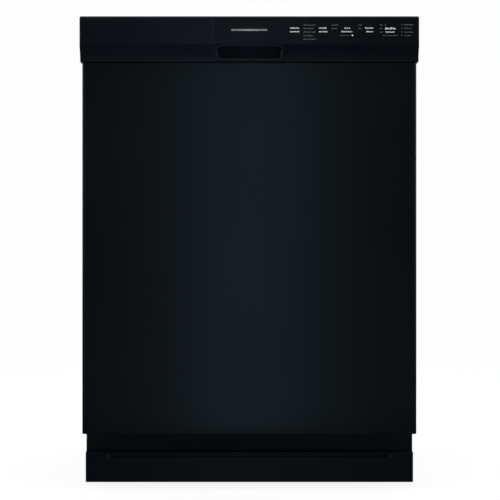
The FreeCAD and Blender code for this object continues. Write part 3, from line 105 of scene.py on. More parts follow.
def ramp(tree, source, out, low, high, a=0.3, b=0.7, into=None):
    """Maps a 0 to 1 signal between two colours or greys, and links it to into, a (node, input) pair."""
    r = add(tree, "ValToRGB")
    for k, (at, tone) in enumerate(((a, low), (b, high))):
        stop = r.color_ramp.elements[k]
        stop.position = at
        stop.color = (*tone, 1) if isinstance(tone, tuple) else (tone, tone, tone, 1)
    link(tree, source, out, r, "Fac")
    if into:
        link(tree, r, "Color", *into)
    return r


def bump(tree, p, layers):
    """Chains bump layers of (node, output, strength, distance in metres) into the shader's normal."""
    last = None
    for node, out, strength, distance in layers:
        b = add(tree, "Bump", Strength=strength, Distance=distance)
        link(tree, node, out, b, "Height")
        if last:
            link(tree, last, "Normal", b, "Normal")
        last = b
    link(tree, last, "Normal", p, "Normal")
    return last


def varied(name, color, rough, spread, tone, scale, grain, depth, strength, stretch=(1, 1, 1), **kind):
    """The general recipe: slow colour drift, uneven gloss and a fine surface grain."""
    m, tree, p = shader(name, color, rough, **kind)
    place = coords(tree, stretch)
    slow = noise_node(tree, place, scale, 5.0)
    fine = noise_node(tree, place, grain, 3.0)
    ramp(tree, slow, "Fac", times(color, 1 - tone), times(color, 1 + tone), 0.25, 0.75, (p, "Base Color"))
    ramp(tree, slow, "Fac", max(0.02, rough - spread / 2), min(1.0, rough + spread / 2), 0.2, 0.8,
         (p, "Roughness"))
    bump(tree, p, [(fine, "Fac", strength, depth)])
    return m


def enamel(name, color, rough, peel=0.05, spec=0.20):
    """Baked black enamel: orange peel, with the faintest drift in tone and gloss."""
    m, tree, p = shader(name, color, rough, spec=spec, tint=(0.54, 0.80, 0.96))
    place = coords(tree)
    peel_wave = noise_node(tree, place, 260.0, 2.0, 0.4)
    drift = noise_node(tree, place, 3.0, 3.0)
    ramp(tree, drift, "Fac", times(color, 0.9), times(color, 1.12), into=(p, "Base Color"))
    ramp(tree, drift, "Fac", rough - 0.02, rough + 0.03, 0.25, 0.75, (p, "Roughness"))
    bump(tree, p, [(peel_wave, "Fac", peel, 0.0004)])
    return m


def band_plastic(name, color, rough, spec):
    """Black moulding of the control band, with painted light: its tone is painted lighter toward the centre insert
    from the left and darker toward the right end as a painted sheen, a thin painted highlight lies just left of
    the insert's left seam, and the insert's two seams are pressed in above the scoop."""
    m, tree, p = shader(name, color, rough, spec=spec, tint=COOL)
    place = coords(tree)
    split = add(tree, "SeparateXYZ")
    link(tree, place, "Vector", split, "Vector")
    x, z = split.outputs["X"], split.outputs["Z"]

    def calc(kind, a, b=0.0):
        """One step of arithmetic on sockets and numbers."""
        n = add(tree, "Math")
        n.operation = kind
        for k, v in enumerate((a, b)):
            if isinstance(v, float):
                n.inputs[k].default_value = v
            else:
                tree.links.new(v, n.inputs[k])
        return n.outputs["Value"]

    near = [calc("LESS_THAN", calc("ABSOLUTE", calc("SUBTRACT", x, seam)), SEAM_HALF) for seam in SEAMS]
    groove = calc("MULTIPLY", calc("MAXIMUM", *near), calc("GREATER_THAN", z, SEAM_LOW))
    # painted sheen: the tone is painted lighter toward the centre insert from the left and darker toward the right end
    painted_sheen_ramp = add(tree, "ValToRGB")
    tree.links.new(calc("ADD", calc("MULTIPLY", x, 1.5), 0.5), painted_sheen_ramp.inputs["Fac"])
    stops = painted_sheen_ramp.color_ramp.elements
    stops[0].position, stops[0].color = 0.0, (*color, 1)
    stops[1].position, stops[1].color = 0.40, (*times(color, 1.5), 1)
    # the two narrow 2.2 stops paint a thin highlight just left of the left seam
    for at, gain in ((0.4015, 2.2), (0.4085, 2.2), (0.4095, 0.95), (0.6, 1.0), (1.0, 0.7)):
        stops.new(at).color = (*times(color, gain), 1)
    dark = add(tree, "MixRGB", Color2=(0.0005, 0.0006, 0.0008, 1))
    tree.links.new(groove, dark.inputs["Fac"])
    link(tree, painted_sheen_ramp, "Color", dark, "Color1")
    link(tree, dark, "Color", p, "Base Color")
    wave = noise_node(tree, place, 18.0, 3.0)
    ramp(tree, wave, "Fac", rough - 0.02, rough + 0.03, into=(p, "Roughness"))
    fine = noise_node(tree, place, 1500.0, 2.0)
    cut = add(tree, "Bump", Strength=0.9, Distance=0.0004)
    cut.invert = True
    tree.links.new(groove, cut.inputs["Height"])
    last = bump(tree, p, [(fine, "Fac", 0.08, 0.00002)])
    link(tree, cut, "Normal", last, "Normal")
    return m


def spangled(name, color):
    """Galvanised sheet: zinc crystals that differ in tone and gloss."""
    m, tree, p = shader(name, color, 0.38, metallic=1.0)
    place = coords(tree)
    v = add(tree, "TexVoronoi", Scale=120.0)
    link(tree, place, "Vector", v, "Vector")
    warp = noise_node(tree, place, 300.0, 3.0)
    ramp(tree, v, "Color", times(color, 0.78), times(color, 1.08), 0.1, 0.9, (p, "Base Color"))
    ramp(tree, v, "Color", 0.28, 0.5, 0.1, 0.9, (p, "Roughness"))
    bump(tree, p, [(warp, "Fac", 0.12, 0.0001)])
    return m


def brushed(name, color, rough, along):
    """Drawn or brushed steel with scratches along one axis."""
    m, tree, p = shader(name, color, rough, metallic=1.0)
    place = coords(tree, tuple(6.0 if k == along else 900.0 for k in range(3)))
    lines = noise_node(tree, place, 1.0, 5.0, 0.6)
    ramp(tree, lines, "Fac", rough - 0.1, rough + 0.12, into=(p, "Roughness"))
    ramp(tree, lines, "Fac", times(color, 0.85), color, into=(p, "Base Color"))
    bump(tree, p, [(lines, "Fac", 0.15, 0.00005)])
    return m


def felt(name, color, light):
    """Needled fibre blanket: matted strands in two tones, with a soft sheen."""
    m, tree, p = shader(name, color, 0.95, sheen=0.08, spec=0.12)
    strands = noise_node(tree, coords(tree, (1.0, 0.35, 1.0)), 700.0, 6.0, 0.7)
    cross = noise_node(tree, coords(tree, (0.4, 1.0, 0.6)), 520.0, 6.0, 0.7)
    blotch = noise_node(tree, coords(tree), 22.0)
    mix = add(tree, "MixRGB", Fac=0.6)
    mix.blend_type = "MULTIPLY"
    ramp(tree, strands, "Fac", color, light, 0.35, 0.68, (mix, "Color1"))
    ramp(tree, blotch, "Fac", 0.6, 1.0, into=(mix, "Color2"))
    link(tree, mix, "Color", p, "Base Color")
    bump(tree, p, [(strands, "Fac", 0.7, 0.0008), (cross, "Fac", 0.5, 0.0006)])
    return m


def perforated(name, color):
    """Filter sheet: a close grid of small holes in steel, painted near black as painted shade instead of being cut."""
    m, tree, p = shader(name, color, 0.32, metallic=1.0)
    v = add(tree, "TexVoronoi", Scale=1.0, Randomness=0.0)
    link(tree, coords(tree, (360.0, 360.0, 0.0)), "Vector", v, "Vector")
    # the holes are painted near black: painted shade in place of openings
    painted_hole_shade = ramp(tree, v, "Distance", 0.0, 1.0, 0.22, 0.3)
    ramp(tree, painted_hole_shade, "Color", (0.01, 0.01, 0.012), color, 0.2, 0.8, (p, "Base Color"))
    bump(tree, p, [(painted_hole_shade, "Color", 0.8, 0.0005)])
    return m


BLACK_ENAMEL = enamel("enamel_black", (0.0006, 0.0007, 0.0014), 0.23)
TOE_ENAMEL = enamel("enamel_toe", (0.0010, 0.0012, 0.0022), 0.27, 0.03, 0.10)
# a separate copy of the black enamel for the access panel, its tone and low gloss set to the shaded recess under the
# door: painted shade
ACCESS_ENAMEL_PAINTED_SHADE = enamel("enamel_access_painted_shade", (0.0022, 0.0034, 0.0042), 0.40, 0.03, 0.05)
ZINC_PRIMER = varied("sheet_primer", (0.10, 0.105, 0.11), 0.5, 0.12, 0.12, 30.0, 1200.0, 0.00005, 0.4)
CONSOLE_BLACK = band_plastic("console_black", (0.0022, 0.0025, 0.0044), 0.32, 0.11)
# the lip's black is painted lighter than the band's: a painted highlight along the rolled edge
LIP_BLACK_PAINTED_HIGHLIGHT = varied("lip_black_painted_highlight", (0.0042, 0.0052, 0.0078), 0.34, 0.06, 0.1, 30.0, 1600.0, 0.00003, 0.2,
                   spec=0.3, tint=COOL)
POCKET_BLACK = varied("pocket_black", (0.0052, 0.0072, 0.0128), 0.5, 0.08, 0.1, 30.0, 1600.0, 0.00004, 0.4,
                      spec=0.12, tint=COOL)
OVERLAY_BLACK = band_plastic("overlay_black", (0.0020, 0.0023, 0.0041), 0.24, 0.11)
KEY_BLACK = band_plastic("key_black", (0.0020, 0.0023, 0.0041), 0.26, 0.11)
INK = varied("legend_ink", (0.52, 0.55, 0.56), 0.55, 0.1, 0.1, 600.0, 3000.0, 0.00001, 0.2)
INK_DIM = varied("legend_ink_dim", (0.075, 0.105, 0.095), 0.55, 0.1, 0.1, 600.0, 3000.0, 0.00001, 0.2)
LENS = varied("indicator_lens", (0.05, 0.065, 0.06), 0.15, 0.05, 0.1, 400.0, 2000.0, 0.00001, 0.1, coat=0.6)
BADGE = brushed("badge_metal", (0.42, 0.44, 0.45), 0.3, 0)
LINER_GREY = varied("liner_grey", (0.25, 0.27, 0.295), 0.34, 0.1, 0.05, 12.0, 1300.0, 0.00005, 0.35)
TUB_GREY = varied("tub_grey", (0.25, 0.265, 0.285), 0.36, 0.05, 0.04, 9.0, 1300.0, 0.00005, 0.3)
PALE_PLASTIC = varied("dispenser_plastic", (0.48, 0.50, 0.52), 0.28, 0.08, 0.04, 20.0, 1500.0, 0.00004, 0.25)
BLUE_CAP = varied("cap_plastic", (0.035, 0.11, 0.32), 0.3, 0.08, 0.08, 60.0, 1500.0, 0.00004, 0.25)
RUBBER = varied("seal_rubber", (0.016, 0.016, 0.018), 0.62, 0.15, 0.2, 60.0, 1700.0, 0.00006, 0.5, spec=0.35)
BLANKET = felt("blanket_felt", (0.016, 0.016, 0.018), (0.075, 0.075, 0.08))
STRAP = varied("strap_webbing", (0.030, 0.031, 0.034), 0.7, 0.1, 0.2, 500.0, 1500.0, 0.0001, 0.7,
               (1, 3, 1), spec=0.2)
ZINC = spangled("galvanised", (0.60, 0.62, 0.64))
SPRING = brushed("spring_steel", (0.30, 0.30, 0.31), 0.35, 1)
SCREW = brushed("screw_zinc", (0.55, 0.55, 0.56), 0.3, 2)
BLACK_SCREW = varied("screw_black", (0.0016, 0.0018, 0.0028), 0.42, 0.1, 0.2, 400.0, 2500.0, 0.00003, 0.3,
                     spec=0.12)
FOOT = varied("foot_nylon", (0.022, 0.022, 0.024), 0.5, 0.12, 0.15, 70.0, 1500.0, 0.00005, 0.5)
PUMP_WHITE = varied("pump_plastic", (0.55, 0.55, 0.52), 0.42, 0.1, 0.06, 40.0, 1400.0, 0.00005, 0.4)
IMPELLER = varied("impeller_nylon", (0.62, 0.61, 0.56), 0.4, 0.1, 0.05, 60.0, 1600.0, 0.00004, 0.3)
SUMP_GREY = varied("sump_plastic", (0.16, 0.165, 0.175), 0.42, 0.12, 0.1, 40.0, 1300.0, 0.00006, 0.5)
HOSE = varied("hose_polymer", (0.21, 0.215, 0.225), 0.45, 0.12, 0.1, 60.0, 1500.0, 0.00004, 0.35)
FILL_HOSE = varied("fill_hose", (0.014, 0.014, 0.015), 0.55, 0.12, 0.2, 60.0, 1800.0, 0.00005, 0.5)
BOARD = varied("board_laminate", (0.012, 0.085, 0.035), 0.35, 0.08, 0.15, 90.0, 900.0, 0.00003, 0.4)
SHEATH = brushed("heater_sheath", (0.14, 0.12, 0.105), 0.4, 0)
ARM_GREY = varied("arm_plastic", (0.33, 0.35, 0.38), 0.32, 0.08, 0.06, 30.0, 1400.0, 0.00004, 0.3)
MESH_STEEL = perforated("filter_steel", (0.50, 0.51, 0.53))
FILTER_GREY = varied("filter_plastic", (0.20, 0.215, 0.24), 0.4, 0.1, 0.08, 50.0, 1400.0, 0.00005, 0.4)
WIRE_COAT = varied("wire_nylon", (0.33, 0.37, 0.42), 0.36, 0.1, 0.07, 50.0, 1100.0, 0.00006, 0.35, coat=0.15)
WHEEL = varied("wheel_nylon", (0.28, 0.30, 0.34), 0.42, 0.1, 0.07, 60.0, 1500.0, 0.00005, 0.4)
BASKET = varied("basket_plastic", (0.24, 0.26, 0.30), 0.42, 0.1, 0.07, 40.0, 1300.0, 0.00006, 0.45)


# ---- mesh tools
def around(n, count=None):
    """The angles that part a turn in n; count asks for fewer or more of them."""
    return [2 * pi * k / n for k in range(count or n)]


def ring(centre, side, up, r, n):
    """A circle of n points in the plane of two directions."""
    return [centre + side * (r * cos(a)) + up * (r * sin(a)) for a in around(n)]


def heading(path, i):
    """The direction of a path at its point i."""
    return (path[min(i + 1, len(path) - 1)] - path[max(i - 1, 0)]).normalized()


def placed(name, data):
    """A new object in the scene."""
    obj = bpy.data.objects.new(name, data)
    scene.collection.objects.link(obj)
    return obj


class Shape:
    """Collects the parts of one piece in one mesh."""

    def __init__(self):
        self.bm = bmesh.new()

    def box(self, lo, hi, r=0.0, seg=2, mat=0):
        """A block with rounded edges."""
        lo, hi = Vector(lo), Vector(hi)
        made = bmesh.ops.create_cube(self.bm, size=1.0)["verts"]
        size, mid = hi - lo, (hi + lo) / 2
        for v in made:
            v.co = Vector(v.co[k] * size[k] + mid[k] for k in range(3))
        edges = {e for v in made for e in v.link_edges}
        faces = {f for v in made for f in v.link_faces}
        if r > 0:
            out = bmesh.ops.bevel(self.bm, geom=list(edges), offset=min(r, min(size) * 0.49), segments=seg,
                                  profile=0.5, affect="EDGES")
            faces |= set(out["faces"])
        for f in faces:
            if f.is_valid:
                f.material_index = mat

    def loft(self, rings, caps=True, closed=True):
        """Skins between rings that each have the same number of points."""
        rows = [[self.bm.verts.new(p) for p in ring] for ring in rings]
        n = len(rows[0])
        for a, b in zip(rows, rows[1:]):
            for k in range(n if closed else n - 1):
                self.bm.faces.new((a[k], a[(k + 1) % n], b[(k + 1) % n], b[k]))
        if caps and closed:
            self.bm.faces.new(rows[0][::-1])
            self.bm.faces.new(rows[-1])

    def tube(self, points, radii, n, caps=True):
        """A round bar or hose through points; radii is one number or one for each point."""
        pts = [Vector(p) for p in points]
        radii = radii if isinstance(radii, (list, tuple)) else [radii] * len(pts)
        tangents = [heading(pts, i) for i in range(len(pts))]
        side = tangents[0].orthogonal().normalized()
        rings = []
        for i, (p, r) in enumerate(zip(pts, radii)):
            if i:
                side = tangents[i - 1].rotation_difference(tangents[i]) @ side
            side = (side - tangents[i] * side.dot(tangents[i])).normalized()
            rings.append(ring(p, side, tangents[i].cross(side), r, n))
        self.loft(rings, caps)

    def lathe(self, profile, centre, axis, n, caps=False):
        """Turns (along, radius) points about an axis through centre."""
        axis = Vector(axis).normalized()
        side = axis.orthogonal().normalized()
        up = axis.cross(side)
        self.loft([ring(Vector(centre) + axis * a, side, up, r, n) for a, r in profile], caps)

    def prism(self, points, direction):
        """Extrudes a flat outline."""
        d = Vector(direction)
        self.loft([[Vector(p) for p in points], [Vector(p) + d for p in points]])

    def piece(self, name, mats, body, slot, *nodes, smooth=True, bevel=0.0):
        """Turns what was collected into an object that rides on a body."""
        bmesh.ops.remove_doubles(self.bm, verts=self.bm.verts, dist=1e-6)
        bmesh.ops.recalc_face_normals(self.bm, faces=self.bm.faces)
        me = bpy.data.meshes.new(name)
        self.bm.to_mesh(me)
        self.bm.free()
        obj = placed(name, me)
        for m in mats if isinstance(mats, (list, tuple)) else [mats]:
            me.materials.append(m)
        return dress(obj, body, slot, *nodes, smooth=smooth, bevel=bevel)


def dress(obj, body, slot, *nodes, smooth=True, bevel=0.0):
    """Softens an object's edges, ties it to its body and hides the CAD nodes it replaces; slot is not used."""
    if bevel:
        soften(obj, bevel)
    elif smooth and obj.type == "MESH":
        smooth_by_angle(obj)
    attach(obj, body)
    if nodes:
        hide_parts(*nodes)
    return obj


def smooth_by_angle(obj, angle=35):
    """Smooth shading with sharp edges kept above an angle."""
    me = obj.data
    for f in me.polygons:
        f.use_smooth = True
    bm = bmesh.new()
    bm.from_mesh(me)
    limit = radians(angle)
    for e in bm.edges:
        if len(e.link_faces) == 2 and e.calc_face_angle(0) > limit:
            e.smooth = False
    bm.to_mesh(me)
    bm.free()


def soften(obj, width, angle=32):
    """Rounded edges through a bevel, with normals weighted to the large faces."""
    for f in obj.data.polygons:
        f.use_smooth = True
    weld = obj.modifiers.new("weld", "WELD")
    weld.merge_threshold = 1e-5
    b = obj.modifiers.new("edge_radius", "BEVEL")
    b.width = width
    b.segments = 2
    b.limit_method = "ANGLE"
    b.angle_limit = radians(angle)
    b.harden_normals = True
    w = obj.modifiers.new("even_normals", "WEIGHTED_NORMAL")
    w.keep_sharp = True


def bend(points, radius, steps=6):
    """A path with its corners rounded."""
    pts = [Vector(p) for p in points]
    out = [pts[0]]
    for before, here, after in zip(pts, pts[1:], pts[2:]):
        a, b = (before - here), (after - here)
        turn = a.angle(b)
        if turn > pi - 0.01:
            out.append(here)
            continue
        back = min(radius / tan(turn / 2), a.length * 0.49, b.length * 0.49)
        p, q = here + a.normalized() * back, here + b.normalized() * back
        for k in range(steps + 1):
            t = k / steps
            out.append(p.lerp(here, t).lerp(here.lerp(q, t), t))
    out.append(pts[-1])
    return out


def wires(name, strands, mat, body, slot, *nodes):
    """Coated wires with rounded tips: strands are (points, radius) pairs."""
    cu = bpy.data.curves.new(name, "CURVE")
    cu.dimensions = "3D"
    cu.bevel_depth = 1.0
    cu.bevel_resolution = 3
    cu.use_fill_caps = True
    for points, r in strands:
        pts = [Vector(p) for p in points]
        first, last = (pts[0] - pts[1]).normalized(), (pts[-1] - pts[-2]).normalized()
        tips = [(0.45, 0.92), (0.8, 0.6), (0.97, 0.2)]
        run = [(pts[0] + first * r * a, r * w) for a, w in reversed(tips)]
        run += [(p, r) for p in pts]
        run += [(pts[-1] + last * r * a, r * w) for a, w in tips]
        s = cu.splines.new("POLY")
        s.points.add(len(run) - 1)
        for sp, (p, w) in zip(s.points, run):
            sp.co = (*p, 1)
            sp.radius = w
        s.use_smooth = True
    obj = placed(name, cu)
    cu.materials.append(mat)
    return dress(obj, body, slot, *nodes, smooth=False)


def keep_cad(node, mat, bevel):
    """A CAD node whose shape is right gets its material and soft edges."""
    o = NODES[node]
    o.data.materials.clear()
    o.data.materials.append(mat)
    if bevel:
        soften(o, bevel)


def limits(node):
    """A node's box as (x0, x1, y0, y1, z0, z1)."""
    lo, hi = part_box(node)
    return lo.x, hi.x, lo.y, hi.y, lo.z, hi.z


# ---- camera, floor, light
WHITE_SEEN = 0.985           # level of the white ground around the machine
WHITE_MIRRORED = 0.14        # its level in glossy surfaces
WHITE_LIGHT = 0.42           # the light it casts


def set_stage():
    """A pale floor, soft lights and a long lens in front of the door."""
    cam = bpy.data.cameras.new("camera")
    cam.lens = 104.7
    cam.sensor_width = 36.0
    cam.clip_end = 60.0
    eye = placed("camera", cam)
    eye.location = (0.0012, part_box("console")[0].y - 2.6, 0.4323)
    eye.rotation_euler = (radians(90), 0, 0)
    scene.camera = eye

    floor_mat, tree, p = shader("floor_paper", (0.93, 0.93, 0.93), 0.9, spec=0.0)
    place = coords(tree)
    far = add(tree, "VectorMath")
    far.operation = "LENGTH"
    link(tree, place, "Vector", far, "Vector")
    away = add(tree, "MapRange", From_Min=0.9, From_Max=3.0)
    away.interpolation_type = "SMOOTHSTEP"
    link(tree, far, "Value", away, "Value")
    ramp(tree, away, "Result", 0.14, 0.0, 0.0, 1.0, (p, "Base Color"))
    ramp(tree, away, "Result", 0.85, WHITE_SEEN, 0.0, 1.0, (p, "Emission Color"))
    put(p, Emission_Strength=1.0)
    grain = noise_node(tree, place, 350.0, 3.0)
    bump(tree, p, [(grain, "Fac", 0.05, 0.0002)])
    ground = Shape()
    ground.loft([[(-9, -9, 0), (9, -9, 0)], [(-9, 9, 0), (9, 9, 0)]], False, closed=False)
    me = bpy.data.meshes.new("floor")
    ground.bm.to_mesh(me)
    me.materials.append(floor_mat)
    floor = placed("floor", me)
    floor.visible_glossy = False
    floor.visible_shadow = False

    world = bpy.data.worlds.new("studio")
    world.use_nodes = True
    scene.world = world
    nt = world.node_tree
    bg = put(nt.nodes["Background"], Color=(1, 1, 1, 1))
    seen = add(nt, "LightPath")
    mirrored = add(nt, "Mix", A=WHITE_LIGHT, B=WHITE_MIRRORED)
    shown = add(nt, "Mix", B=WHITE_SEEN)
    link(nt, seen, "Is Glossy Ray", mirrored, "Factor")
    link(nt, seen, "Is Camera Ray", shown, "Factor")
    link(nt, mirrored, "Result", shown, "A")
    link(nt, shown, "Result", bg, "Strength")

    def lamp(name, place, target, size, power):
        data = bpy.data.lights.new(name, "AREA")
        data.shape = "RECTANGLE"
        data.size, data.size_y = size
        data.energy = power
        data.spread = radians(180)
        obj = placed(name, data)
        obj.location = place
        obj.rotation_euler = (Vector(target) - Vector(place)).to_track_quat("-Z", "Y").to_euler()

    lamp("top_softbox", (0, -0.6, 4.2), (0, 0, 0.4), (4.5, 3.5), 150)
    lamp("left_softbox", (-4.2, -1.0, 1.8), (0, 0, 0.5), (2.0, 3.0), 60)
    lamp("right_softbox", (4.2, -1.0, 1.8), (0, 0, 0.5), (2.0, 3.0), 60)
    lamp("back_softbox", (0.5, 4.6, 2.4), (0, 0, 0.4), (3.5, 2.4), 90)
    lamp("front_strip", (0, -5.6, 0.6), (0, 0, 0.5), (0.6, 4.6), 14)
    lamp("left_strip", (-2.5, -5.1, 0.9), (0, 0, 0.5), (1.6, 3.8), 14)
    lamp("right_strip", (2.5, -5.1, 0.9), (0, 0, 0.5), (1.6, 3.8), 14)


set_stage()
scene.view_settings.view_transform = "Standard"

for mat, width, names in (
    (CONSOLE_BLACK, 0.6, "console"),
    (OVERLAY_BLACK, 0.15, "control_overlay"),
    (POCKET_BLACK, 0.8, "handle_pocket"),
    (KEY_BLACK, 0.3, "key_wash_cycles key_wash_temp key_dry_option key_delay_time key_start_cancel"),
    (BOARD, 0.2, "control_board"),
    (SUMP_GREY, 0.5, "latch_housing"),
    (SUMP_GREY, 0.6, "sump"),
    (SCREW, 0.4, "latch_hook"),
    (SCREW, 0.3, "door_screws"),
    (BLACK_SCREW, 0.5, "kick_screws"),
    (ZINC, 0.3, "mounting_brackets upper_rails"),
    (ZINC, 0.4, "strike_plate base_frame"),
    (ZINC, 0.5, "hinge_arms"),
    (LINER_GREY, 0.8, "door_inner_liner"),
    (TUB_GREY, 0.8, "tub"),
    (PALE_PLASTIC, 0.5, "detergent_cover vent_cover float_dome"),
    (PALE_PLASTIC, 0.6, "detergent_dispenser"),
    (BLUE_CAP, 0.6, "rinse_aid_cap"),
    (TOE_ENAMEL, 0.4, "kick_plate"),
    (ACCESS_ENAMEL_PAINTED_SHADE, 0.4, "access_panel"),
    (MESH_STEEL, 0.3, "filter_plate"),
    (PUMP_WHITE, 0.6, "circulation_pump"),
    (PUMP_WHITE, 0.5, "drain_pump inlet_valve"),
    (IMPELLER, 0.3, "pump_impeller"),
    (SHEATH, 0.0, "heating_element"),
    (ARM_GREY, 0.0, "feed_tube"),
    (ARM_GREY, 0.5, "rack_manifold"),
    (WHEEL, 0.6, "rail_guides"),
):
    for name in names.split():
        keep_cad(name, mat, width * MM)


# ---- door front
def door_skin():
    """The bowed enamel sheet, rolled at its edges and folded back on all four sides."""
    x0, x1, y0, y1, z0, z1 = limits("door_outer_panel")
    half, crown, roll, edge = (x1 - x0) / 2, 1.5 * MM, 5 * MM, 1.6 * MM
    mid = (x0 + x1) / 2

    def plan(inset, push):
        """The sheet seen from above: left return, rolled corner, bow, rolled corner, right return."""
        h = half - inset
        bow = lambda x: y0 + push + crown * (x / half) ** 2
        pts = [(-h, y1), (-h, y0 + crown + roll + push + 0.012)]
        for k in range(9):
            a = pi / 2 * k / 8
            pts.append((-h + roll * (1 - cos(a)), bow(h) + roll * (1 - sin(a))))
        flat_run = [-h + roll + (2 * (h - roll)) * k / 48 for k in range(1, 48)]
        pts += [(x, bow(x)) for x in flat_run]
        pts += [(-x, y) for x, y in reversed(pts[:11])]
        return [(mid + x, min(y, y1)) for x, y in pts]

    full = y1 - y0
    rows = [(z0, edge, full), (z0, edge, edge)]
    rows += [(z0 + edge * (1 - cos(a)), edge * (1 - sin(a)), edge * (1 - sin(a)))
             for a in (pi / 8 * k for k in range(1, 5))]
    rows += [(z0 + (z1 - z0) * k / 12, 0, 0) for k in range(1, 12)]
    rows += [(z1 - (z - z0), i, p) for z, i, p in reversed(rows[:6])]
    s = Shape()
    s.loft([[(x, y, z) for x, y in plan(i, p)] for z, i, p in rows], caps=False, closed=False)
    o = s.piece("door_skin", [BLACK_ENAMEL, ZINC_PRIMER], "door", "door_paint", "door_outer_panel")
    thick = o.modifiers.new("sheet", "SOLIDIFY")
    thick.thickness = 1.2 * MM
    thick.offset = -1
    thick.use_even_offset = True
    thick.material_offset = 1


def greek(s, x0, x1, z, y, height, mat=0):
    """A row of small upright bars of uneven height, parted like words, in place of printed words."""
    x, low, left = x0, z - height / 2, rng.randint(3, 6)
    while x < x1 - 0.6:
        w = min(rng.uniform(0.9, 1.7), x1 - x)
        h = height * rng.choice((0.72, 0.72, 1.0))
        s.box((x * MM, y - 0.00004, low * MM), ((x + w) * MM, y + 0.00002, (low + h) * MM), mat=mat)
        left -= 1
        x += w + (0.38 if left else 1.2)
        left = left or rng.randint(3, 6)


def legends():
    """Generic marks where the printed words stand, on the keys and on the film beside them."""
    face = limits("control_overlay")[2]
    key_face = limits("key_wash_cycles")[2]
    on_keys = {
        "wash_cycles": [(73, 89.5, 829.3, 2.5), (72.5, 90, 822.9, 2.5)],
        "wash_temp": [(124.5, 139, 829.3, 2.5), (124.5, 139.5, 822.9, 2.5)],
        "dry_option": [(170, 181, 829.3, 2.5), (165, 184.5, 822.9, 2.5), (162.5, 180, 816, 1.2)],
        "delay_time": [(207, 223, 829.3, 2.5), (209, 222, 822.9, 2.5)],
        "start_cancel": [(242.5, 261.5, 828.6, 3.6), (244, 260, 822.2, 2.2), (239, 265.5, 815.8, 1.2)],
    }
    for name, lines in on_keys.items():
        s = Shape()
        for x0, x1, z, h in lines:
            greek(s, x0, x1, z, key_face, h, mat=int(h < 2))
        s.piece("legend_" + name, [INK, INK_DIM], "key_" + name + "_cap", "key_plastic", smooth=False)
    s = Shape()
    for x0, x1, rows in (
        (96.8, 118.4, (834.6, 828.5, 822.2, 815.4, 809.3)),
        (147, 159.5, (834.6, 828.5)),
        (195, 201.8, (834.6, 828.5)),
        (233.5, 238.5, (834.6, 828.5, 822)),
        (277, 294, (835, 829, 822, 816)),
    ):
        for k, z in enumerate(rows):
            greek(s, x0, x1 - (k % 2) * (x1 - x0) * 0.18, z, face, 1.5)
    s.piece("legend_film", INK_DIM, "door", "overlay_film", smooth=False)
    s = Shape()
    for x, z in ((272.8, 835), (272.8, 829), (272.8, 822), (272.8, 816), (243.4, 834.6)):
        s.lathe([(0.0002, 0.0), (0.00002, 0.0009), (-0.00018, 0.0010), (-0.0004, 0.0007), (-0.00045, 0.0)],
                (x * MM, face, z * MM), BACK, 20)
    s.piece("indicator_lenses", LENS, "door", "overlay_film")
    s = Shape()
    s.lathe([(0.0002, 0.0), (0.00002, 0.0014), (-0.0002, 0.0015), (-0.0006, 0.0009), (-0.0007, 0.0)],
            (184.5 * MM, key_face, 816 * MM), BACK, 20)
    s.piece("status_lens", INK, "key_dry_option_cap", "key_plastic")


def badge():
    """A plain slim bar in the middle of the band, where a maker's mark would be."""
    face = limits("control_overlay")[2]
    s = Shape()
    s.box((-0.032, face - 0.0006, 0.8238), (0.032, face + 0.0001, 0.8272), 0.0004, 3)
    s.piece("plain_badge", BADGE, "door", "overlay_film")


def pocket_lip():
    """The rolled lip along the mouth of the finger pocket, its black painted lighter than the band's as a painted
    highlight.
    """
    x0, x1, *_ = limits("handle_pocket")
    low = 0.7736                            # the lowest line of the lip
    y = limits("console")[2] + 0.0118       # how far it stands behind the band
    turned = [(x0 + 0.004, y - 0.004, low + 0.016), (x0 + 0.003, y, low + 0.001)]
    turned += [(x1 - 0.003, y, low + 0.001), (x1 - 0.004, y - 0.004, low + 0.016)]
    s = Shape()
    s.tube(bend(turned, 0.009, 8), 1.5 * MM, 12)
    s.piece("pocket_lip", LIP_BLACK_PAINTED_HIGHLIGHT, "door", "console_plastic")


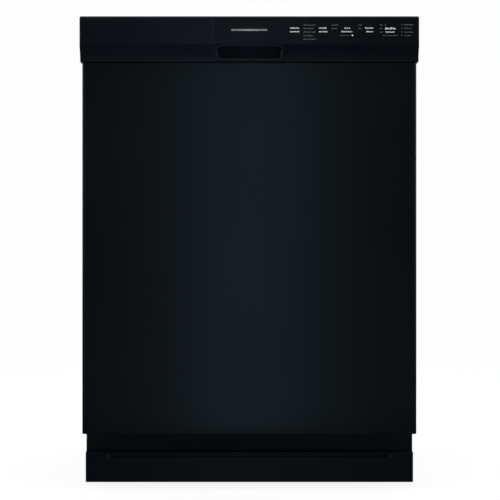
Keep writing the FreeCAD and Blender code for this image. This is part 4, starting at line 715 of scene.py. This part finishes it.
# ---- sound blanket, seals, hoses
def sound_blanket():
    """Quilted fibre wrap over both sides and the top, tied down by two straps in their channels."""
    x0, x1, y0, y1, z0, z1 = limits("insulation_blanket")
    thick, skin, corner = 9.4 * MM, 0.3 * MM, 22 * MM
    left, right, top = x0 + thick, x1 - thick, z1 - thick
    pitch = 7 * MM                          # of the points along its length
    up = int((top - corner - z0) / pitch)
    over = int((right - left - 2 * corner) / pitch)
    line = [(left, z0 + (top - corner - z0) * k / up, -1.0, 0.0) for k in range(up)]
    for a in (pi / 2 * k / 7 for k in range(8)):
        line.append((left + corner - corner * cos(a), top - corner + corner * sin(a), -cos(a), sin(a)))
    line += [(left + corner + (right - left - 2 * corner) * k / over, top, 0.0, 1.0) for k in range(1, over)]
    line += [(-x, z, -nx, nz) for x, z, nx, nz in reversed(line[:up + 8])]
    walked, s_at = 0.0, [0.0]
    for a, b in zip(line, line[1:]):
        walked += hypot(b[0] - a[0], b[1] - a[1])
        s_at.append(walked)
    quilt_s, quilt_y = walked / 14, (y1 - y0) / 4
    straps = (y0 + quilt_y, y0 + 3 * quilt_y)
    rows, fade = 68, 0.012                  # it thins out over this length at its edges
    rings = []
    for j in range(rows + 1):
        y = y0 + (y1 - y0) * j / rows
        edge = min(1.0, min(y - y0, y1 - y) / fade)
        outer, inner = [], []
        for (x, z, nx, nz), s in zip(line, s_at):
            end = min(1.0, min(s, walked - s) / fade)
            puff = (abs(sin(pi * s / quilt_s)) * abs(sin(pi * (y - y0) / quilt_y))) ** 0.45
            if min(abs(y - t) for t in straps) < 0.014:
                puff = 0.12
            lump = 0.94 + 0.06 * noise.noise((x * 30, y * 30, z * 30))
            h = thick * (0.22 + 0.78 * puff * sqrt(max(edge, 0)) * sqrt(max(end, 0))) * lump
            outer.append((x + nx * h, y, z + nz * h))
            inner.append((x + nx * skin, y, z + nz * skin))
        rings.append(outer + inner[::-1])
    s = Shape()
    s.loft(rings)
    o = s.piece("sound_blanket", BLANKET, "cabinet", "blanket_fibre", "insulation_blanket")
    s = Shape()
    for t in straps:
        low, high = thick * 0.34, thick * 0.42
        s.loft([[(x + nx * h, y, z + nz * h) for x, z, nx, nz in line[2:-2]] for y, h in (
            (t - 0.0125, low), (t - 0.0121, high), (t + 0.0121, high), (t + 0.0125, low))], caps=False, closed=False)
    s.piece("blanket_straps", STRAP, "cabinet", "blanket_fibre")


def tub_seal():
    """The moulded bulb seal up both sides of the mouth and across its top."""
    x0, x1, _, y1, z0, z1 = limits("tub_gasket")
    m = 7.0 * MM / 2                        # half its width
    path = bend([(x0 + m, y1, z0), (x0 + m, y1, z1 - m), (x1 - m, y1, z1 - m), (x1 - m, y1, z0)], 0.016, 10)
    bulb = [(-3.5, 0), (-3.5, 1.0), (-2.5, 1.3)]
    bulb += [(-2.1 * cos(a), 2.45 + 2.15 * sin(a)) for a in (pi * k / 10 - 0.4 for k in range(1, 11))]
    bulb += [(2.5, 1.3), (3.5, 1.0), (3.5, 0)]
    front = Vector((0, -1, 0))
    s = Shape()
    s.loft([[p + heading(path, i).cross(front) * (u * MM) + front * (v * MM) for u, v in bulb]
            for i, p in enumerate(path)])
    s.piece("tub_bulb_seal", RUBBER, "cabinet", "seal_rubber", "tub_gasket")


def sill_seal():
    """The wiping lip low on the door: a ribbed foot and a curved blade toward the sill."""
    x0, x1, y0, y1, z0, z1 = limits("door_seal")
    h = z1 - z0
    d = y1 - y0
    shape = [(0, 0), (0, 1), (0.25, 1), (0.3, 0.86), (0.55, 0.82), (0.98, 0.62), (1.0, 0.5), (0.93, 0.47),
             (0.6, 0.62), (0.34, 0.60), (0.34, 0.45), (0.6, 0.36), (0.72, 0.2), (0.62, 0.14), (0.45, 0.24),
             (0.3, 0.26), (0.25, 0)]
    s = Shape()
    s.prism([(x0, y0 + d * a, z0 + h * b) for a, b in shape], (x1 - x0, 0, 0))
    s.piece("sill_wiper", RUBBER, "door", "seal_rubber", "door_seal", bevel=0.0003)


def steps(points, pitch):
    """A path walked in even steps."""
    out, left = [Vector(points[0])], pitch
    for a, b in zip(points, points[1:]):
        a, b = Vector(a), Vector(b)
        run = (b - a).length
        while left <= run and run > 0:
            out.append(a.lerp(b, left / run))
            a = out[-1]
            run = (b - a).length
            left = pitch
        left -= run
    out.append(Vector(points[-1]))
    return out


def clamp_ring(s, centre, axis, r, width=0.009):
    """A worm-drive hose clip."""
    h, out = width / 2, r + 0.0008
    s.lathe([(-h, r), (-h, out), (h, out), (h, r)], centre, axis, 36, caps=True)
    axis = Vector(axis)
    side = axis.orthogonal().normalized()
    p = Vector(centre) + side * (r + 0.003)
    reach = axis.cross(side) * 0.008
    s.tube([p - reach, p + reach], 0.0032, 12)


def drain_line():
    """Corrugated hose in its high loop behind the tub, with plain cuffs and the moulded end fitting."""
    x0, x1, y0, y1, z0, z1 = limits("drain_hose")
    r = 11 * MM
    start, low = y0, limits("drain_pump")[4] + 0.022
    a, b = x0 + r, x1 - r - 1 * MM
    behind, top = y1 - r - 1 * MM, z1 - r
    route = [(a, start, low), (a, behind, low), (a, behind, top), (b, behind, top), (b, behind, z0 + 0.026)]
    path = steps(bend(route, 0.0288, 14), 1.5 * MM)
    radii = [r * (0.86 + 0.14 * (0, 0.55, 1, 0.55)[i % 4]) for i in range(len(path))]
    radii[:20] = [r * 0.98] * 20            # the plain cuffs
    radii[-21:] = [r * 0.98] * 21
    s = Shape()
    s.tube(path, radii, 20)
    z = z0 + 0.012
    s.lathe([(0, 0), (0, 0.0112), (0.0012, 0.0119), (0.0248, 0.0119), (0.026, 0.0108), (0.026, 0)], (b, behind, z0),
            UP, 36)
    spigot = [(0.008, 0.0108), (0.0123, 0.0108), (0.013, 0.0102), (0.013, 0.008)]
    for k in range(3):
        at = 0.021 + k * 0.0062
        spigot += [(at, 0.0078), (at + 0.0002, 0.0083), (at + 0.0052, 0.0076)]
    spigot += [(0.0445, 0.0072), (0.045, 0.0066), (0.045, 0.0055), (0.031, 0.0055), (0.031, 0)]
    s.lathe(spigot, (b, behind, z), (-1, 0, 0), 36)
    s.piece("drain_line", HOSE, "cabinet", "hose_plastic", "drain_hose")
    s = Shape()
    clamp_ring(s, (a, start + 0.014, low), BACK, r * 0.99)
    s.piece("drain_clip", SCREW, "cabinet", "screw_steel")


def fill_line():
    """Rubber fill hose from the valve to its spout in the tub floor."""
    x0, x1, y0, y1, z0, z1 = limits("inlet_hose")
    r = (x1 - x0) / 2
    x, low = x0 + r, z0 + r
    path = bend([(x, y0, low), (x, y1 - r, low), (x, y1 - r, z1)], 0.027, 12)
    s = Shape()
    s.tube(steps(path, 0.004), r * 0.985, 20)
    for at in (0.004, 0.020):
        s.lathe([(-0.0015, r * 0.9), (-0.001, r * 1.06), (0.001, r * 1.06), (0.0015, r * 0.9)], (x, y0 + at, low),
                BACK, 28, caps=True)
    s.piece("fill_line", FILL_HOSE, "cabinet", "fill_hose", "inlet_hose")
    s = Shape()
    clamp_ring(s, (x, y0 + 0.012, low), BACK, r)
    s.piece("fill_clip", SCREW, "cabinet", "screw_steel")


# ---- racks
def spread(a, b, count):
    return [a + (b - a) * k / (count - 1) for k in range(count)]


def loop(x, ya, yb, z, r_corner):
    """A closed rectangle of wire that starts in the middle of its rear side."""
    return bend([(0.0, yb, z), (x, yb, z), (x, ya, z), (-x, ya, z), (-x, yb, z), (0.0, yb, z)], r_corner, 7)


RACK_Y = (-0.194, 0.240)
UPRIGHTS = spread(*RACK_Y, 11)


def rack(name, node, body, half, floor, rim, rows, tine):
    """An open rack of coated wire: U bends both ways, two looped rims and rows of tines."""
    r, rim_r = 2.0 * MM, 2.6 * MM
    ya, yb = RACK_Y
    cross = floor + 2 * r - 0.3 * MM
    out = r + rim_r - 0.3 * MM
    corner = 0.009
    strands = []
    for x in spread(-half, half, 9)[1:-1] + [-half, half]:
        a, b = (ya + corner, yb - corner) if abs(x) == half else (ya, yb)
        strands.append((bend([(x, a, rim), (x, a, floor), (x, b, floor), (x, b, rim)], corner), r))
    for y in UPRIGHTS[1:-1]:
        strands.append((bend([(-half, y, rim), (-half, y, cross), (half, y, cross), (half, y, rim)], corner), r))
    for y in (ya + 0.012, yb - 0.012):
        strands.append(([(-half + 0.004, y, cross), (half - 0.004, y, cross)], r))
    strands.append((loop(half, ya, yb, rim, 0.016), rim_r))
    strands.append((loop(half + out, ya - out, yb + out, floor + (rim - floor) * 0.5, 0.018), rim_r))
    for x in rows:
        for y in UPRIGHTS[1:-1]:
            strands.append(([(x, y, cross), (x, y, floor + tine * 0.5), (x, y, floor + tine - r)], r))
    wires(name, strands, WIRE_COAT, body, "wire_coat", node)


def racks():
    """Both racks with their brackets, axles and wheels, and the cup shelves."""
    rack("lower_rack_wires", "lower_rack", "lower_rack_body", 0.244, 0.207, 0.325,
         (-0.190, -0.122, -0.061, 0.0, 0.061), 0.088)
    rack("upper_rack_wires", "upper_rack", "upper_rack_body", 0.238, 0.580, 0.704,
         (-0.119, -0.0595, 0.0595, 0.119), 0.062)
    s, pins = Shape(), Shape()
    for side in (-1, 1):
        for y in (-0.092, 0.196):
            span = sorted((side * 0.2405, side * 0.2475))
            s.box((span[0], y - 0.011, 0.172), (span[1], y + 0.011, 0.224), 0.0025, 3)
            s.lathe([(0, 0.0075), (0.0035, 0.007), (0.0042, 0.005), (0.0042, 0.0)], (side * 0.2475, y, 0.180),
                    (side, 0, 0), 24)
            pins.lathe([(0, 0.0), (0, 0.004), (0.0128, 0.004), (0.0131, 0.0055), (0.0150, 0.0052), (0.0155, 0.003),
                        (0.0155, 0.0)], (side * 0.244, y, 0.180), (side, 0, 0), 24)
    s.piece("lower_brackets", WHEEL, "lower_rack_body", "wire_coat")
    pins.piece("lower_axles", SCREW, "lower_rack_body", "wire_coat")
    s, pins = Shape(), Shape()
    for side in (-1, 1):
        span = sorted((side * 0.2452, side * 0.2477))
        s.box((span[0], 0.040, 0.6252), (span[1], 0.238, 0.6468), 0.001, 2)
        for y in (0.060, 0.224):
            pins.lathe([(0, 0), (0, 0.003), (0.0178, 0.003), (0.0188, 0.0022), (0.0188, 0)], (side * 0.2472, y, 0.636),
                       (side, 0, 0), 20)
        span = sorted((side * 0.2278, side * 0.239))
        for y in (UPRIGHTS[2], UPRIGHTS[7]):
            s.box((span[0], y - 0.003, 0.659), (span[1], y + 0.003, 0.669), 0.001, 2)
    s.piece("upper_side_plates", WIRE_COAT, "upper_rack_body", "wire_coat")
    pins.piece("upper_axles", SCREW, "upper_rack_body", "wire_coat")
    for level in ("lower", "upper"):
        for end in ("front", "rear"):
            wheels(f"{level}_wheels_{end}", f"{level}_wheel_pair_{end}")
    for side, word in ((-1, "left"), (1, "right")):
        a, b, end, z = side * 0.225, side * 0.133, 0.150, 0.664
        strands = [([(a, -end, z), (a, end, z)], 0.0024),
                   (bend([(a, -end, z), (b, -end, z), (b, end, z), (a, end, z)], 0.012, 8), 0.0024)]
        strands += [([(a, y, z), (b, y, z)], 0.002) for y in spread(-end, end, 9)[1:-1]]
        wires("cup_shelf_wires_" + word, strands, WIRE_COAT, word + "_shelf", "wire_coat", "cup_shelf_" + word)


def wheels(node, body):
    """A left and right wheel: a grooved tread, a dished web with six ribs, a hub."""
    _, x1, y0, y1, z0, z1 = limits(node)
    r = (z1 - z0) / 2
    y, z = (y0 + y1) / 2, (z0 + z1) / 2
    bore, w = (4.1 * MM, 0.010) if r > 0.014 else (3.1 * MM, 0.008)
    s = Shape()
    for side in (-1, 1):
        inner = side * (x1 - w)
        profile = [(0, bore), (0, r * 0.52), (w * 0.3, r * 0.54), (w * 0.3, r * 0.8), (0, r * 0.84), (0, r - 0.0012),
                   (0.0012, r), (w * 0.42, r), (w * 0.5, r - 0.0007), (w * 0.58, r), (w - 0.0012, r), (w, r - 0.0012),
                   (w, r * 0.84), (w * 0.7, r * 0.8), (w * 0.7, r * 0.54), (w, r * 0.5), (w, bore), (0, bore)]
        s.lathe(profile, (inner, y, z), (side, 0, 0), 48)
        e = Vector((side * w * 0.97, 0, 0))
        for a in around(6):
            c, t = Vector((0, cos(a), sin(a))), Vector((0, -sin(a), cos(a))) * 0.0008
            ends = [Vector((inner, y, z)) + c * d for d in (r * 0.5, r * 0.84)]
            s.loft([[p - t, p + t, p + t + e, p - t + e] for p in ends])
    s.piece(node + "_moulded", WHEEL, body, "wheel_plastic", node)


def cutlery():
    """Slatted cutlery basket: bands, upright slats, five walls between six bays, an arched handle."""
    x0, x1, y0, y1, z0, z1 = limits("cutlery_basket")
    top, w = 0.331, 2.4 * MM                # its rim and its walls
    s = Shape()
    for lo, hi in ((z0, z0 + 0.007), (z0 + 0.055, z0 + 0.060), (top - 0.011, top)):
        s.box((x0, y0, lo), (x1, y0 + w, hi), 0.0007)
        s.box((x0, y1 - w, lo), (x1, y1, hi), 0.0007)
        s.box((x0, y0, lo), (x0 + w, y1, hi), 0.0007)
        s.box((x1 - w, y0, lo), (x1, y1, hi), 0.0007)
    pitch = (y1 - y0 - w) / 6
    walls = [y0 + k * pitch for k in range(7)]
    for y in walls:
        for x in spread(x0 + w, x1 - w, 8):
            s.box((x - 0.0012, y + 0.0004, z0), (x + 0.0012, y + w - 0.0004, top), 0.0004, 1)
        if y0 < y < y1 - 2 * w:
            s.box((x0, y + 0.0004, top - 0.010), (x1, y + w - 0.0004, top - 0.001), 0.0006)
    for y in spread(y0 + w, y1 - w, 37):
        for x in (x0 + 0.0004, x1 - w + 0.0004):
            s.box((x, y - 0.0012, z0), (x + w - 0.0008, y + 0.0012, top), 0.0004, 1)
        s.box((x0 + w, y - 0.001, z0), (x1 - w, y + 0.001, z0 + 0.0022))
    for x in spread(x0 + w, x1 - w, 10)[1:-1]:
        s.box((x - 0.001, y0 + w, z0), (x + 0.001, y1 - w, z0 + 0.0022))
    mid = (x0 + x1) / 2
    low, high = top - 0.03, z1 - 0.005
    arch = bend([(mid, -pitch, low), (mid, -pitch, high), (mid, pitch, high), (mid, pitch, low)], 0.018, 10)
    rings = []
    for i, p in enumerate(arch):
        n = heading(arch, i).cross(Vector((1, 0, 0)))
        rings.append([p + Vector((u * 0.0085, 0, 0)) + n * (v * 0.0042) for u, v in
                      ((-1, -0.4), (-0.8, -1), (0.8, -1), (1, -0.4), (1, 0.4), (0.8, 1), (-0.8, 1), (-1, 0.4))])
    s.loft(rings)
    s.piece("cutlery_lattice", BASKET, "basket", "basket_plastic", "cutlery_basket")


# ---- springs, feet
def springs():
    """Close-wound balance springs with their rods, eyes and hooks."""
    _, x1, y0, y1, z0, z1 = limits("door_springs")
    z, r, wire, turns = (z0 + z1) / 2, 0.0056, 0.00088, 48
    front, rear = y1 - 0.1095, y1 - 0.0118  # the coil's ends
    strands = []
    for side in (-1, 1):
        x = side * (x1 - 6.5 * MM)
        coil = []
        for k in range(turns * 12 + 1):
            t = k / (turns * 12)
            a = 2 * pi * turns * t
            coil.append((x + r * cos(a), front + (rear - front) * t, z + r * sin(a)))
        eye = [(x, y0 + 0.006 + 0.0047 * cos(a), z + 0.0047 * sin(a)) for a in around(24, 25)]
        strands += [(coil, wire), (eye, 0.00125), ([(x, y0 + 0.0105, z), (x, front + 0.002, z)], 0.0015)]
        strands += [([(x, y, z), (x, y, z + r)], wire) for y in (front, rear)]
        strands.append((bend([(x, rear - 0.002, z), (x, y1 - 0.002, z), (x, y1 - 0.002, z + 0.004)], 0.002), 0.0012))
    wires("balance_springs", strands, SPRING, "cabinet", "spring_steel", "door_springs")


def feet():
    """Four screw feet: a round pad, a hexagon and a threaded stem."""
    for word in ("front_left", "front_right", "rear_left", "rear_right"):
        node = "leg_" + word
        x0, x1, y0, y1, z0, z1 = limits(node)
        x, y, r = (x0 + x1) / 2, (y0 + y1) / 2, (x1 - x0) / 2
        s = Shape()
        s.lathe([(0, 0), (0, r - 0.0008), (0.001, r), (0.0045, r), (0.0075, r * 0.72), (0.008, r * 0.6), (0.008, 0)],
                (x, y, z0), UP, 40)
        hexagon = [(x + 0.009 * cos(a), y + 0.009 * sin(a), z0 + 0.0078)
                   for a in (pi / 3 * k for k in range(6))]
        s.prism(hexagon, (0, 0, 0.0082))
        stem, z = [(0, 0), (0, 0.0046)], 0.0
        while z < z1 - z0 - 0.020:
            stem += [(z + 0.0002, 0.0043), (z + 0.0008, 0.0050), (z + 0.0014, 0.0043)]
            z += 0.00155
        stem += [(z1 - z0 - 0.016, 0.0035), (z1 - z0 - 0.016, 0)]
        s.lathe(stem, (x, y, z0 + 0.016), UP, 20)
        s.piece("foot_" + word + "_screw", FOOT, "foot_" + word, "foot_plastic", node)


# ---- spray arms, filters, pumps
def spray_arm(node, body):
    """A two-bladed arm, thicker at its hub, with raised jets, each slot painted as a near-black block: painted shade
    in place of an opening.
    """
    x0, x1, y0, y1, z0, z1 = limits(node)
    cy, cz = (y0 + y1) / 2, (z0 + z1) / 2
    reach, h = (x1 - x0) / 2, (z1 - z0) / 2
    s = Shape()
    for side in (-1, 1):
        rings = []
        for t in (0.045, 0.08, 0.14, 0.3, 0.5, 0.7, 0.85, 0.93, 0.97, 0.99, 1.0):
            wide = 0.0225 * max(0.0, 1 - t / 0.16) + 0.0138 - 0.0025 * t
            end = sqrt(max(0.0, 1 - max(0.0, (t - 0.93) / 0.07) ** 2))
            wide, high = wide * (0.35 + 0.65 * end), h * 0.98 * (0.45 + 0.55 * end)
            rings.append([(side * reach * t, cy + wide * copysign(abs(cos(a)) ** 0.6, cos(a)),
                           cz + high * copysign(abs(sin(a)) ** 0.7, sin(a)))
                          for a in around(28)])
        s.loft(rings)
    s.lathe([(-h, 0.0092), (-h, 0.0205), (-h + 0.0015, 0.0225), (h - 0.0025, 0.0228), (h - 0.0005, 0.0205), (h, 0.018),
             (h, 0.0092), (-h, 0.0092)], (0, cy, cz), UP, 48)
    s.piece(node + "_moulded", ARM_GREY, body, "arm_plastic", node)
    jets, dark = Shape(), Shape()
    for side in (-1, 1):
        for k, t in enumerate((0.22, 0.38, 0.54, 0.70, 0.86)):
            x, y = side * reach * t, cy + side * (0.004 if k % 2 else -0.004)
            jets.lathe([(-0.001, 0.0056), (0.0001, 0.0054), (0.0004, 0.0036), (0.0006, 0.0030), (0.0006, 0.0)],
                       (x, y, z1 - 0.0004), UP, 24)
            # a near-black block on each jet: painted shade standing in for the slot's opening
            dark.box((x - 0.0032, y - 0.0007, z1 - 0.0008), (x + 0.0032, y + 0.0007, z1 + 0.00035), 0.0002, 1)
    jets.piece(node + "_jets", ARM_GREY, body, "arm_plastic")
    dark.piece(node + "_slot_shade", POCKET_BLACK, body, "arm_plastic")


def fine_filter():
    """The lift-out cup: a ribbed frame, punched steel between the ribs, a cross grip."""
    x0, x1, y0, y1, z0, z1 = limits("filter_cylinder")
    cx, cy, r = (x0 + x1) / 2, (y0 + y1) / 2, (x1 - x0) / 2
    s = Shape()
    for a, b in ((z0, z0 + 0.004), (z0 + 0.026, z0 + 0.029), (z1 - 0.013, z1)):
        s.lathe([(a, r - 0.0025), (a, r - 0.0004), (a + 0.0004, r), (b - 0.0004, r), (b, r - 0.0004), (b, r - 0.0025),
                 (a, r - 0.0025)], (cx, cy, 0), UP, 56)
    s.lathe([(z0, 0), (z0, r - 0.001), (z0 + 0.0025, r - 0.001), (z0 + 0.0025, 0)], (cx, cy, 0), UP, 56)
    for a in around(12):
        c, t = Vector((cos(a), sin(a), 0)), Vector((-sin(a), cos(a), 0)) * 0.0013
        p = Vector((cx, cy, z0))
        a, b = p + c * (r - 0.0024), p + c * (r - 0.0001)
        s.prism([a - t, b - t, b + t, a + t], (0, 0, z1 - z0 - 0.002))
    s.box((x0 + 0.001, cy - 0.002, z1 - 0.014), (x1 - 0.001, cy + 0.002, z1), 0.0009, 2)
    s.lathe([(z1 - 0.014, 0), (z1 - 0.014, 0.006), (z1 - 0.001, 0.0055), (z1, 0.004), (z1, 0)], (cx, cy, 0), UP, 28)
    s.piece("filter_frame", FILTER_GREY, "fine_filter", "filter_plastic", "filter_cylinder")
    s = Shape()
    s.lathe([(z0 + 0.003, r - 0.0014), (z1 - 0.012, r - 0.0014)], (cx, cy, 0), UP, 72)
    s.piece("filter_screen", MESH_STEEL, "fine_filter", "filter_mesh")


def pump_details():
    """Ribs, a clamp band and a terminal block on the circulation pump, ribs on the drain pump, the valve's thread."""
    x0, x1, y0, y1, *_ = limits("circulation_pump")
    cy, cz, r = (y0 + y1) / 2, 0.084, 0.034 # its centre and the radius of its motor
    s = Shape()
    for k in range(9):
        at = x0 + 0.012 + k * 0.0085
        s.lathe([(at, r - 0.0006), (at + 0.0006, r + 0.0012), (at + 0.0022, r + 0.0012), (at + 0.0028, r - 0.0006)],
                (0, cy, cz), RIGHT, 56, caps=True)
    s.box((x0 + 0.030, cy - 0.012, cz + r - 0.004), (x0 + 0.062, cy + 0.012, cz + r + 0.009), 0.0015, 3)
    s.piece("pump_ribs", PUMP_WHITE, "cabinet", "pump_plastic")
    s = Shape()
    clamp_ring(s, (x1 - 0.040, cy, cz), RIGHT, 0.0362, 0.010)
    for k in range(3):
        s.box((x0 + 0.035 + k * 0.008, cy - 0.009, cz + r + 0.0085),
              (x0 + 0.0362 + k * 0.008, cy - 0.003, cz + r + 0.015), 0.0003, 1)
    s.piece("pump_band", SCREW, "cabinet", "screw_steel")
    motor = Vector((limits("drain_pump")[0] + 0.014, -0.020, 0.094))
    s = Shape()
    for k in range(8):
        a = pi / 4 * k + 0.2
        p = motor + Vector((0, cos(a), sin(a))) * 0.0205
        s.tube([p, p + Vector((0.026, 0, 0))], 0.0021, 10)
    s.piece("drain_pump_ribs", PUMP_WHITE, "cabinet", "pump_plastic")
    _, _, y0, _, z0, _ = limits("inlet_valve")
    s = Shape()
    turns = [(z0 + 0.0005 + 0.0018 * k, 0.0090 - (0.0007 if k % 2 else 0)) for k in range(8)]
    s.lathe([(z0 + 0.0001, 0.0062)] + turns + [(z0 + 0.0145, 0.0062)], (-0.225, y0 + 0.017, 0), UP, 32)
    s.piece("valve_thread", PUMP_WHITE, "cabinet", "pump_plastic")


def mouldings():
    """Beads that stiffen the tub walls and frame the door liner."""
    wall, front, back = 0.276, -0.150, 0.272
    s = Shape()
    for z in (0.372, 0.404, 0.436, 0.468):
        s.tube(bend([(-wall, front, z), (-wall, back, z), (wall, back, z), (wall, front, z)], 0.022, 8), 0.0016, 10)
    s.piece("tub_beads", TUB_GREY, "cabinet", "tub_plastic")
    y1 = limits("door_inner_liner")[3]
    s = Shape()
    for inset in (0.022, 0.034):
        h, lo, hi = 0.262 - inset, 0.154 + inset, 0.795 - inset
        pts = bend([(0, y1, lo), (h, y1, lo), (h, y1, hi), (-h, y1, hi), (-h, y1, lo), (0, y1, lo)], 0.020, 8)
        s.tube(pts, 0.0012, 10, caps=False)
    s.piece("liner_beads", LINER_GREY, "door", "liner_plastic")
    x0, x1, _, y1, z0, _ = limits("detergent_cover")
    s = Shape()
    for k in range(4):
        z = z0 + 0.022 + k * 0.008
        s.tube([(x0 + 0.016, y1 - 0.003, z), (x1 - 0.016, y1 - 0.003, z)], 0.0009, 8)
    s.piece("cover_grips", PALE_PLASTIC, "detergent_flap_body", "dispenser_plastic")


def board_parts():
    """Relays, capacitor and key switches over the board's plain blocks."""
    top = 0.851
    s = Shape()
    for x in (0.090, 0.116, 0.142):
        s.box((x - 0.0001, -0.30695, top - 0.0301), (x + 0.0191, -0.2924, top - 0.0139), 0.0006, 2)
    for x in (0.0798, 0.1311, 0.1758, 0.2174, 0.2556):
        s.box((x - 0.0031, -0.3106, 0.8219), (x + 0.0031, -0.3086, 0.8281), 0.0004, 2)
    s.box((0.2399, -0.30695, 0.8059), (0.2701, -0.2964, 0.8161), 0.0005, 2)
    s.piece("board_parts", FILL_HOSE, "door", "board")


door_skin()
legends()
badge()
pocket_lip()
sound_blanket()
tub_seal()
sill_seal()
drain_line()
fill_line()
racks()
cutlery()
springs()
feet()
spray_arm("lower_spray_arm", "lower_arm")
spray_arm("middle_spray_arm", "middle_arm")
fine_filter()
pump_details()
mouldings()
board_parts()

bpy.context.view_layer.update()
